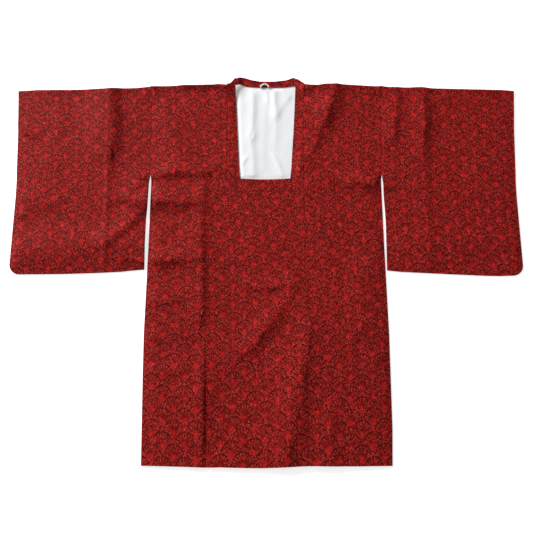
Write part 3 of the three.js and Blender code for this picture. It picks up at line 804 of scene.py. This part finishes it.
    kept = w.minus(1.0, w.times(bare, 0.5))
    colour = w.blend(w.times(heart, w.plus(0.5, w.times(kept, 0.35))), source["Ground"], source["Heart"])
    light = w.most(w.times(pale, kept), w.times(shining, 0.6))
    colour = w.blend(w.math("MINIMUM", light, 1.0), colour, source["Pale"])
    sunk = w.most(w.times(dark, w.times(kept, 0.9)), w.times(shadowed, w.minus(1.0, w.times(heart, 0.6))))
    colour = w.blend(sunk, colour, source["Dark"])
    w.feed(result.inputs["Color"], w.vector("SCALE", {0: colour, "Scale": w.plus(1.0, shade)}))
    w.feed(result.inputs["Height"], w.minus(w.plus(0.5, w.times(pale, 0.3)), w.times(dark, 0.4)))
    return w.tree


def weave():
    """Fine crepe relief from crossed, uneven threads."""
    w, source, result = new_group(
        "Crepe weave", [("Vector", VECTOR, None), ("Thread", FLOAT, 0.0007)], [("Height", FLOAT)]
    )
    place = w.node("ShaderNodeSeparateXYZ", {"Vector": source["Vector"]}).outputs
    round_trip = w.math("DIVIDE", 2 * math.pi, source["Thread"])
    bend = w.times(w.minus(w.noise(source["Vector"], 700.0, 2.0), 0.5), 9.0)
    across = w.math("SINE", w.plus(w.times(place["X"], round_trip), bend))
    along = w.math("SINE", w.minus(w.times(place["Y"], round_trip), bend))
    grain = w.noise(source["Vector"], 1400.0, 2.0)
    height = w.plus(w.plus(w.times(across, 0.2), w.times(along, 0.2)), w.times(grain, 0.8))
    w.feed(result.inputs["Height"], height)
    return w.tree


def shared_material(name, wire, look):
    """The material of this name. If it is new, wire(wiring, shader, look) finishes it."""
    known = bpy.data.materials.get(name)
    if known:
        return known
    material = bpy.data.materials.new(name)
    material.use_nodes = True
    wire(Wiring(material.node_tree), material.node_tree.nodes["Principled BSDF"], look)
    return material


def set_constants(shader, constants):
    for name, value in constants.items():
        shader.inputs[name].default_value = value


def opaque(colour, share=1):
    """A colour, or this share of its brightness, with full alpha."""
    return (*(share * channel for channel in colour), 1)


def red_crepe(w, shader, look):
    """Deep red silk crepe with an all-over scale print and a soft sheen."""
    cut = w.node("ShaderNodeUVMap", uv_map="cut").outputs["UV"]
    inputs = {
        "Vector": cut,
        "Scale width": look.scale_width,
        "Row step": look.row_step,
        "Dome height": look.dome_height,
        "Ground": opaque(look.ground),
        "Dark": opaque(look.dark),
        "Heart": opaque(look.heart),
        "Pale": opaque(look.pale),
    }
    pattern = w.group("Scale print", scale_print, inputs)
    threads = w.group("Crepe weave", weave, {"Vector": cut, "Thread": RED_THREAD})
    height = w.plus(w.times(pattern["Height"], 0.5), threads["Height"])
    roughness = w.plus(0.62, w.times(threads["Height"], 0.12))
    w.surface(shader, pattern["Color"], roughness, height, 0.35)
    sheen = {"Sheen Weight": 0.015, "Sheen Roughness": 0.4, "Sheen Tint": (1.0, 0.45, 0.4, 1)}
    set_constants(shader, {"Specular IOR Level": 0.055, **sheen})


def white_silk(w, shader, look):
    """Plain white lining silk, smooth, with faint threads and a soft sheen."""
    cut = w.node("ShaderNodeUVMap", uv_map="cut").outputs["UV"]
    threads = w.group("Crepe weave", weave, {"Vector": cut, "Thread": WHITE_THREAD})
    long_threads = w.node("ShaderNodeMapping", {"Vector": cut, "Scale": (1, 0.06, 1)})
    streaks = w.noise(long_threads.outputs[0], 420.0, 2.0)
    cloud = w.noise(cut, 34.0, 3.0)
    shade = w.plus(w.times(w.minus(streaks, 0.5), 0.5), w.times(w.minus(cloud, 0.5), 0.5))
    colour = w.blend(w.plus(0.35, shade), opaque(look.lining), opaque(look.lining, 0.86))
    height = w.plus(w.times(streaks, 0.6), threads["Height"])
    w.surface(shader, colour, w.plus(0.4, w.times(streaks, 0.15)), height, 0.3)
    set_constants(shader, {"Specular IOR Level": 0.3, "Sheen Weight": 0.08})


def white_cord(w, shader, look):
    """Matt white cotton cord, its strands spun from fine yarn."""
    spot = w.node("ShaderNodeTexCoord").outputs["Object"]
    yarn = w.noise(spot, 2600.0, 3.0, 0.6)
    colour = w.blend(w.times(yarn, 0.5), opaque(look.cord), opaque(look.cord, 0.8))
    w.surface(shader, colour, w.plus(0.75, w.times(yarn, 0.15)), yarn, 0.4)
    set_constants(shader, {"Specular IOR Level": 0.2})


def pale_floor(w, shader, look):
    """Pale matt floor that glows a little, as on a light table."""
    spot = w.node("ShaderNodeTexCoord").outputs["Object"]
    cloud = w.noise(spot, 3.0, 2.0)
    w.feed(shader.inputs["Base Color"], w.blend(cloud, opaque(look.floor), opaque(look.floor, 0.985)))
    glow = {"Emission Color": (1, 1, 1, 1), "Emission Strength": look.floor_glow}
    set_constants(shader, {"Roughness": 0.9, "Specular IOR Level": 0.1, **glow})


# ---- what a user would change ----
def number_property(name, description, default, **more):
    return bpy.props.FloatProperty(name=name, description=description, default=default, min=0, **more)


def length_property(name, description, default):
    return number_property(name, description, default, precision=5, unit="LENGTH")


def colour_property(name, description, default):
    return bpy.props.FloatVectorProperty(
        name=name, description=description, default=default, subtype="COLOR", size=3, min=0, max=1
    )


class CoatCloth(bpy.types.PropertyGroup):
    """Thicknesses, seams and folds of the coat's cloth"""

    thickness: length_property("Cloth", "Outer cloth and its lining, pressed together", 0.0015)
    lining_thickness: length_property("Lining", "The white back lining that shows in the neck", 0.001)
    seam_gap: length_property("Seam gap", "Room left between two pieces", 0.0003)
    pitch: length_property("Grid pitch", "Distance between the grid lines of a panel", 0.004)
    waves: length_property("Waves", "Height of the soft unevenness of the upper cloth", 0.0007)
    fold_height: number_property("Folds", "Height of the creases, as a share", 1.0, max=2)


class CoatLook(bpy.types.PropertyGroup):
    """Colours and print of the coat"""

    scale_width: length_property("Scale width", "Width of one scale of the print", 0.052)
    row_step: length_property("Row step", "Distance between two rows of scales", 0.0228)
    dome_height: length_property("Dome height", "Height of the round top of a scale", 0.025)
    ground: colour_property("Ground", "Deep red of the ground", (0.25, 0.0062, 0.0062))
    dark: colour_property("Dark", "Maroon of the arcs and ticks", (0.037, 0.0042, 0.0018))
    heart: colour_property("Heart", "Bright red of a scale's heart", (0.5, 0.0105, 0.0105))
    pale: colour_property("Pale", "Pinkish red of the fine lines", (0.52, 0.045, 0.036))
    lining: colour_property("Lining", "White of the back lining", (0.9, 0.91, 0.92))
    cord: colour_property("Cord", "White of the hanger loop", (0.86, 0.85, 0.82))


class CoatStage(bpy.types.PropertyGroup):
    """Floor, light and camera"""

    floor: colour_property("Floor", "Pale floor", (0.93, 0.93, 0.93))
    floor_glow: number_property("Floor glow", "Light that comes up through the floor", 0.62)
    key_power: number_property("Key light", "Power of the large lamp", 735, unit="POWER")
    fill: number_property("Fill light", "Strength of the light from all round", 0.35)
    tilt: bpy.props.FloatProperty(
        name="Tilt",
        description="How far the camera leans back from straight down",
        default=math.radians(14.4),
        subtype="ANGLE",
        unit="ROTATION",
    )
    distance: length_property("Distance", "From the camera to the middle of the view", 1.797)
    look_at: bpy.props.FloatVectorProperty(
        name="Look at",
        description="Middle of the view",
        default=(0.0006, -0.0174, 0.004),
        subtype="TRANSLATION",
        unit="LENGTH",
    )


# ---- pieces ----
SIDE_NAME = {-1: "right", 1: "left"}


def make_cloth(context, node, grid, place, outward=facing_up):
    """A finished piece of the red cloth, which takes the place of one node."""
    piece = new_sheet(node + "_cloth", *grid, place)
    face_outwards(piece, outward)
    thicken(piece, Layers(context.scene.coat_cloth).cloth)
    dress(piece, shared_material("red crepe", red_crepe, context.scene.coat_look), [node])
    return piece


def body_edges(side, across, down, top):
    """Distances to the side and to the fold, how far the side is sewn, and how flat it lies."""
    to_side = side_seam[side](down) - np.abs(across)
    to_fold = down - top
    sewn = ease(down - ARMHOLE_DOWN, SIDE_CLOSING)
    return to_side, to_fold, sewn, turned(to_fold) * mix(1, turned(to_side), sewn)


def fold_groove(to_fold):
    return SEAM_GROOVE / 2 * np.clip(to_fold / ROLL, 0, 1)


def back_panel(context, side):
    """Back of one side, from the centre-back seam to the side seam. Its outer side is below."""
    layers = Layers(context.scene.coat_cloth)
    node = "back_" + SIDE_NAME[side]

    def place(u, v):
        nominal = u * SIDE_HALF_WIDTH
        top = shoulder_fold(side * nominal)
        down = mix(top, hem(side * nominal) - BACK_HEM_SHORT, v)
        across = side * mix(layers.gap / 2, side_seam[side](down), u)
        to_side, to_fold, sewn, flat = body_edges(side, across, down, top)
        inside = np.minimum(np.minimum(to_side, to_fold), np.abs(across))
        height = (layers.middle - fold_groove(to_fold)) * (1 - flat)
        height = height + layers.groove(across, down) * ease(inside, GROOVE_RUN)
        height = height - seam_dip(np.abs(across)) * BACK_SEAM_SHARE
        return across, down, height, printed(node, across, 2 * top - down)

    piece = make_cloth(context, node, layers.grid(SIDE_HALF_WIDTH, HEM_DOWN, 2), place, facing_down)


def front_panel(context, side):
    """Front of one side, from the overlap panel and the neck band out to the side seam."""
    layers = Layers(context.scene.coat_cloth)
    node = "front_" + SIDE_NAME[side]

    def place(u, v):
        nominal = mix(BAND_OUTER, SIDE_HALF_WIDTH, u)
        top = shoulder_fold(side * nominal)
        down = mix(top, hem(side * nominal), v)
        inner = band_outer(down) + layers.gap / 2
        across = side * mix(inner, side_seam[side](down), u)
        to_side, to_fold, sewn, flat = body_edges(side, across, down, top)
        upper = layers.fronts[side](across, down) + layers.cloth
        height = mix(layers.middle + fold_groove(to_fold), upper, flat)
        height = height + seam_dip(np.abs(across) - inner)
        height = height + seam_dip(to_side) * (1 - sewn)
        return across, down, height, printed(node, across, down)

    piece = make_cloth(context, node, layers.grid(SIDE_HALF_WIDTH - BAND_OUTER, HEM_DOWN), place)


def overlap_panel(context, side):
    """Overlap panel, from its seam on its own front across the centre to its free edge."""
    layers = Layers(context.scene.coat_cloth)
    node = "overlap_" + SIDE_NAME[side]
    top = NECK_DOWN + BAND_WIDTH + layers.gap / 2
    widest = float(overlap_edge(NECK_DOWN))

    def place(u, v):
        nominal = mix(-widest, BAND_OUTER, u)
        down = mix(top, hem(side * nominal), v)
        own = mix(-overlap_edge(down), BAND_OUTER - layers.gap / 2, u)
        height = layers.overlaps[side](side * own, down) + layers.cloth
        height = height + seam_dip(BAND_OUTER - own) + seam_dip(down - top)
        return side * own, down, height, printed(node, side * own, down)

    grid = layers.grid(BAND_OUTER + widest, HEM_DOWN - top, 3 if side < 0 else 1)
    piece = make_cloth(context, node, grid, place)


def mitre(share):
    """The band's corner seam, from the corner of the neck to that of the overlap panel."""
    return mix(NECK_BOTTOM_HALF, BAND_OUTER, share), mix(NECK_DOWN, NECK_DOWN + BAND_WIDTH, share)


def band_side(context, side):
    """Side of the neck band, from its fold behind the shoulder down to the mitre."""
    layers = Layers(context.scene.coat_cloth)
    underside = layers.band(side, layers.fronts[side])

    def place(u, v):
        top = collar_outline[side](mix(neck_edge[side](-25), band_outer(0), u))
        mitre_down = mitre(u)[1]
        down = mix(top, mitre_down - layers.gap, v)
        outer = band_outer(down) - layers.gap / 2
        across = side * mix(neck_edge[side](down), outer, u)
        height = underside(across, down) + layers.cloth
        height = height + seam_dip(outer - np.abs(across)) + seam_dip(mitre_down - down)
        right = (np.abs(across) - neck_edge[side](down) + BAND_SIDE_PRINT) * MM
        return across, down, height, (side * right, -down * MM)

    grid = layers.grid(BAND_WIDTH, NECK_DOWN, 0.75)
    piece = make_cloth(context, "collar_" + SIDE_NAME[side], grid, place)


def band_bottom(context, side):
    """Bottom of the neck band, on the top edge of an overlap panel."""
    layers = Layers(context.scene.coat_cloth)
    free_edge = -float(overlap_edge(NECK_DOWN))

    def place(u, v):
        own = mix(free_edge, mitre(v)[0] - layers.gap, u)
        low = NECK_DOWN + BAND_WIDTH - layers.gap / 2
        down = mix(neck_bottom(own), low, v)
        height = layers.overlaps[side](side * own, down) + layers.cloth
        height = height + seam_dip(low - down) + seam_dip(mitre(v)[0] - own)
        return side * own, down, height, ((down - neck_bottom(own) + BAND_PRINT) * MM, own * MM)

    grid = layers.grid(BAND_OUTER - free_edge, BAND_WIDTH, 0.75)
    piece = make_cloth(context, "collar_bottom_under" if side < 0 else "collar_bottom", grid, place)


def band_back(context):
    """The band behind the neck, of which the inner side shows."""
    layers = Layers(context.scene.coat_cloth)

    def place(u, v):
        across = mix(-BACK_BAND_HALF, BACK_BAND_HALF, u)
        foot = by_side(collar_foot, across, np.abs(across))
        down = mix(by_side(collar_outline, across, np.abs(across)), foot, v)
        height = layers.back_band(across, down) + layers.cloth + seam_dip(foot - down)
        height = height + BACK_BAND_WAVE * unevenness(21, across, down, BACK_BAND_WAVE_SIZE)
        return across, down, height, (across * MM, (foot - down + BACK_BAND_PRINT) * MM)

    us = grid_lines(2 * BACK_BAND_HALF, 0.75 * layers.pitch)
    vs = grid_lines(BAND_WIDTH / 2, 0.5 * layers.pitch)
    piece = make_cloth(context, "collar_back", (us, vs), place)


def back_lining(context):
    """White lining of the back, showing in the neck."""
    layers = Layers(context.scene.coat_cloth)

    def place(u, v):
        across = mix(-LINING_HALF, LINING_HALF, u)
        down = mix(LINING_TOP_DOWN, LINING_BOTTOM_DOWN, v)
        to_band = by_side(neck_edge, across, down) - np.abs(across)
        to_top = down - by_side(collar_foot, across, np.abs(across))
        inside = ease(np.minimum(np.minimum(to_band, NECK_DOWN - down), to_top), LINING_EDGE)
        swell = creased(LINING_CREASES, across, down)
        swell = swell + LINING_WAVE_HEIGHT * waved(LINING_WAVES, across, down)
        height = layers.step + layers.lining + np.minimum(swell, LINING_HIGHEST) * inside
        return across, down, height, (across * MM, -down * MM)

    grid = layers.grid(2 * LINING_HALF, LINING_BOTTOM_DOWN - LINING_TOP_DOWN, 0.6)
    piece = new_sheet("back_lining_silk", *grid, place)
    face_outwards(piece, facing_up)
    thicken(piece, layers.lining, LINING_RIM_ROUNDING)
    silk = shared_material("white lining silk", white_silk, context.scene.coat_look)
    dress(piece, silk, ["back_lining"])


def sleeve(context, side):
    """One length of cloth folded at the top and sewn along the bottom and the lower cuff."""
    layers = Layers(context.scene.coat_cloth)
    node = "sleeve_" + SIDE_NAME[side]

    def place(u, v):
        nominal = mix(SLEEVE_FROM, SLEEVE_TO, u)
        top, bottom = sleeve_top[side](nominal), sleeve_bottom[side](nominal)
        down = mix(top, bottom, np.abs(v))
        to_bottom = bottom - down
        short = 1 - np.clip(to_bottom / SLEEVE_CORNER, 0, 1)
        outer = sleeve_outer(down) - SLEEVE_CORNER * (1 - np.sqrt(1 - short * short))
        out = mix(sleeve_inner[side](down) + layers.gap, outer, u)
        across = side * out

        to_outer = sleeve_outer(down) - out
        corner_a = np.clip(SLEEVE_CORNER - to_outer, 0, None)
        corner_d = np.clip(SLEEVE_CORNER - to_bottom, 0, None)
        in_corner = (corner_a > 0) & (corner_d > 0)
        to_corner = SLEEVE_CORNER - np.hypot(corner_a, corner_d)
        to_fold = down - top
        to_inner = out - sleeve_inner[side](down)
        at_cuff = CUFF_LOFT * (1 - ease(down - CUFF_OPEN_DOWN / 2, CUFF_OPEN_DOWN / 2))
        nearest = np.minimum(np.minimum(to_fold, to_bottom), np.minimum(to_inner, to_outer + at_cuff))
        nearest = np.where(in_corner, np.minimum(nearest, to_corner), nearest)
        armhole = 1 - ease(down - ARMHOLE_DOWN, SEAM_RUN)
        edges = np.where(in_corner, to_corner, np.minimum(to_outer + at_cuff, to_bottom))
        rising = ease(to_fold, FOLD_RUN) * ease(edges, SEAM_RUN)
        roof = mix(layers.step, layers.free, ease(nearest, SOFT_EDGE)) + layers.cloth
        roof = roof + layers.lift(across, down) * rising

        sewn = ease(down - CUFF_OPEN_DOWN, CUFF_CLOSING)
        seam_side = np.where(in_corner, to_corner, np.minimum(to_outer, to_bottom))
        lower_edge = np.where(down > CUFF_OPEN_DOWN, seam_side, to_bottom)
        flat = turned(to_fold) * mix(1, turned(lower_edge), np.maximum(sewn, to_bottom < BOTTOM_ZONE))
        groove = fold_groove(to_fold)
        upper = mix(layers.middle + groove, roof, flat) + seam_dip(to_inner) * armhole
        inside = ease(np.minimum(nearest, to_inner), GROOVE_RUN)
        lower = mix(layers.middle - groove, 0, flat) + layers.groove(across, down) * inside
        height = np.where(v > 0, upper, lower)
        height = np.where(v == 0, layers.middle, height)
        return across, down, height, printed(node, across, np.where(v > 0, down, 2 * top - down))

    length = float(sleeve_bottom[side](SLEEVE_TO))
    us, upper_side = layers.grid(SLEEVE_TO - SLEEVE_FROM, length)
    vs = np.concatenate([-upper_side[::-1], upper_side[1:]])
    piece = make_cloth(context, node, (us, vs), place, facing_out)


LOOP_HALF_WIDTH, LOOP_HEIGHT, LOOP_CENTRE, LOOP_FOOT_DOWN = 10.5, 9.2, -1.5, 5.2
LOOP_FOOT_DROP, LOOP_DROP_FROM, LOOP_DROP_RUN = 3.2, 2, 3
LOOP_FOOT_TAPER, LOOP_TAPER_RUN = 0.45, 3.5  # the cord is stitched flat at its feet
CORD_DIAMETER, CORD_STRANDS, STRAND_SHARE = 4.4, 3, 0.54  # a strand is this share of the cord
CORD_LAY = 13.0  # length of cord in which a strand goes once round
CORD_STEPS, LOOP_CLEARANCE = 90, 1.2  # the loop lies this many seam gaps over the band


def unit(vectors):
    return vectors / np.linalg.norm(vectors, axis=1, keepdims=True)


def loop_line(layers):
    """The middle of the cord, in the plan and up, in millimetres."""
    turn = np.pi * (1 - np.linspace(0, 1, CORD_STEPS))
    across = LOOP_CENTRE + LOOP_HALF_WIDTH * np.cos(turn)
    down = LOOP_FOOT_DOWN - LOOP_HEIGHT * np.sin(turn)
    over_band = layers.cloth + LOOP_CLEARANCE * layers.gap + CORD_DIAMETER / 2
    drop = LOOP_FOOT_DROP * ease(down - LOOP_DROP_FROM, LOOP_DROP_RUN)
    return np.column_stack([across, -down, layers.back_band(across, down) + over_band - drop])


def hanger_loop(context):
    """Loop of white cord, three strands twisted, its feet sewn in at the lining's top edge."""
    middle = loop_line(Layers(context.scene.coat_cloth))
    ahead = unit(np.gradient(middle, axis=0))
    sideways = unit(np.cross(ahead, (0, 0, 1)))
    upwards = np.cross(sideways, ahead)
    steps = np.linalg.norm(np.diff(middle, axis=0), axis=1)
    run = np.concatenate([[0], np.cumsum(steps)])
    taper = mix(LOOP_FOOT_TAPER, 1, ease(np.minimum(run, run[-1] - run), LOOP_TAPER_RUN))
    strand_radius = CORD_DIAMETER / 2 * STRAND_SHARE
    ring = CORD_DIAMETER / 2 - strand_radius
    strands = []
    for number in range(CORD_STRANDS):
        phase = 2 * np.pi * (run / CORD_LAY + number / CORD_STRANDS)
        round_middle = np.cos(phase)[:, None] * sideways + np.sin(phase)[:, None] * upwards
        line = middle + ring * taper[:, None] * round_middle
        line[:, 0] = as_laid(line[:, 0], -line[:, 1])
        points = line * MM + np.array([CENTRE_X, SHOULDER_Y, 0])
        bpy.ops.object.select_all(action="DESELECT")
        bpy.ops.curve.primitive_nurbs_path_add()
        strand = bpy.context.object
        strand.data.splines.clear()
        spline = strand.data.splines.new("POLY")
        spline.points.add(len(points) - 1)
        spline.points.foreach_set("co", np.column_stack([points, np.ones(len(points))]).ravel())
        spline.points.foreach_set("radius", taper)
        strand.data.dimensions = "3D"
        strand.data.bevel_depth = strand_radius * MM
        strand.data.bevel_resolution = 4
        strand.data.use_fill_caps = True
        bpy.ops.object.convert(target="MESH")
        strands.append(bpy.context.object)
    bpy.ops.object.select_all(action="DESELECT")
    for strand in strands:
        strand.select_set(True)
    bpy.context.view_layer.objects.active = strands[0]
    bpy.ops.object.join()
    cord = bpy.context.object
    cord.name = cord.data.name = "hanger_loop_cord"
    bpy.ops.object.shade_smooth_by_angle(angle=SMOOTH_BELOW)
    cotton = shared_material("white cord", white_cord, context.scene.coat_look)
    dress(cord, cotton, ["hanger_loop"])


FLOOR_SIZE, FLOOR_BELOW = 12, 0.0003  # in metres, as is all of the stage
KEY_PLACE, KEY_SIZE = (-4.5, 4.2, 2.4), 2.6
SENSOR_WIDTH, FOCAL_LENGTH = 36, 49.7  # in millimetres


def studio(context):
    """Pale floor, a large soft lamp beyond the wearer's right shoulder, and the camera."""
    look = context.scene.coat_stage
    bpy.ops.object.select_all(action="DESELECT")
    bpy.ops.mesh.primitive_plane_add(size=FLOOR_SIZE, location=(0, 0, -FLOOR_BELOW))
    floor = bpy.context.object
    floor.name = "floor"
    floor.data.materials.append(shared_material("pale floor", pale_floor, look))

    bpy.ops.object.light_add(type="AREA", location=KEY_PLACE)
    key = bpy.context.object
    key.name = "key light"
    key.data.energy = look.key_power
    key.data.size = KEY_SIZE
    key.rotation_euler = (key.location * -1).to_track_quat("-Z", "Y").to_euler()

    world = context.scene.world or bpy.data.worlds.new("studio")
    context.scene.world = world
    world.use_nodes = True
    background = world.node_tree.nodes["Background"]
    background.inputs["Color"].default_value = (1, 1, 1, 1)
    background.inputs["Strength"].default_value = look.fill
    context.scene.view_settings.view_transform = "Standard"

    x, y, z = look.look_at
    back = look.distance * math.sin(look.tilt)
    up = look.distance * math.cos(look.tilt)
    bpy.ops.object.camera_add(location=(x, y - back, z + up), rotation=(look.tilt, 0, 0))
    camera = bpy.context.object
    camera.data.sensor_width = SENSOR_WIDTH
    camera.data.lens = FOCAL_LENGTH
    context.scene.camera = camera


# ---- operators ----
class OnceOperator:
    """Base of the operators that make one thing."""

    bl_options = {"REGISTER", "UNDO"}

    def execute(self, context):
        self.make(context)
        return {"FINISHED"}


class PairOperator:
    """Base of the operators that make a piece for each side."""

    bl_options = {"REGISTER", "UNDO"}

    def execute(self, context):
        for side in (-1, 1):
            self.make(context, side)
        return {"FINISHED"}


class COAT_OT_stage(OnceOperator, bpy.types.Operator):
    """Adds the floor, the light and the camera"""

    bl_idname = "coat.stage"
    bl_label = "Stage"
    make = staticmethod(studio)


class COAT_OT_backs(PairOperator, bpy.types.Operator):
    """Makes the two back panels"""

    bl_idname = "coat.backs"
    bl_label = "Back panels"
    make = staticmethod(back_panel)


class COAT_OT_lining(OnceOperator, bpy.types.Operator):
    """Makes the white back lining"""

    bl_idname = "coat.lining"
    bl_label = "Back lining"
    make = staticmethod(back_lining)


class COAT_OT_fronts(PairOperator, bpy.types.Operator):
    """Makes the two fronts"""

    bl_idname = "coat.fronts"
    bl_label = "Fronts"
    make = staticmethod(front_panel)


class COAT_OT_overlaps(PairOperator, bpy.types.Operator):
    """Makes the two overlap panels"""

    bl_idname = "coat.overlaps"
    bl_label = "Overlap panels"
    make = staticmethod(overlap_panel)


class COAT_OT_neck_band(OnceOperator, bpy.types.Operator):
    """Makes the neck band: behind the neck, its two sides and its bottom"""

    bl_idname = "coat.neck_band"
    bl_label = "Neck band"

    def make(self, context):
        band_back(context)
        for side in (-1, 1):
            band_side(context, side)
            band_bottom(context, side)


class COAT_OT_sleeves(PairOperator, bpy.types.Operator):
    """Makes the two sleeves"""

    bl_idname = "coat.sleeves"
    bl_label = "Sleeves"
    make = staticmethod(sleeve)


class COAT_OT_hanger_loop(OnceOperator, bpy.types.Operator):
    """Makes the hanger loop of twisted white cord"""

    bl_idname = "coat.hanger_loop"
    bl_label = "Hanger loop"
    make = staticmethod(hanger_loop)


OPERATORS = (
    COAT_OT_stage,
    COAT_OT_backs,
    COAT_OT_lining,
    COAT_OT_fronts,
    COAT_OT_overlaps,
    COAT_OT_neck_band,
    COAT_OT_sleeves,
    COAT_OT_hanger_loop,
)


class COAT_PT_panel(bpy.types.Panel):
    """Lists the coat's sizes, colours and pieces"""

    bl_label = "Michiyuki coat"
    bl_idname = "COAT_PT_panel"
    bl_space_type = "VIEW_3D"
    bl_region_type = "UI"
    bl_category = "Coat"

    def draw(self, context):
        for group in (context.scene.coat_cloth, context.scene.coat_look, context.scene.coat_stage):
            box = self.layout.box()
            for key in group.__annotations__:
                box.prop(group, key)
        for operator in OPERATORS:
            self.layout.operator(operator.bl_idname)


GROUPS = {"coat_cloth": CoatCloth, "coat_look": CoatLook, "coat_stage": CoatStage}


def register():
    for group in GROUPS.values():
        bpy.utils.register_class(group)
    for key, group in GROUPS.items():
        setattr(bpy.types.Scene, key, bpy.props.PointerProperty(type=group))
    for operator in OPERATORS:
        bpy.utils.register_class(operator)
    bpy.utils.register_class(COAT_PT_panel)


def unregister():
    bpy.utils.unregister_class(COAT_PT_panel)
    for operator in reversed(OPERATORS):
        bpy.utils.unregister_class(operator)
    for key, group in GROUPS.items():
        delattr(bpy.types.Scene, key)
        bpy.utils.unregister_class(group)


def main():
    register()
    bpy.ops.coat.stage()
    bpy.ops.coat.backs()
    bpy.ops.coat.lining()
    bpy.ops.coat.fronts()
    bpy.ops.coat.overlaps()
    bpy.ops.coat.neck_band()
    bpy.ops.coat.sleeves()
    bpy.ops.coat.hanger_loop()


if __name__ == "__main__":
    main()
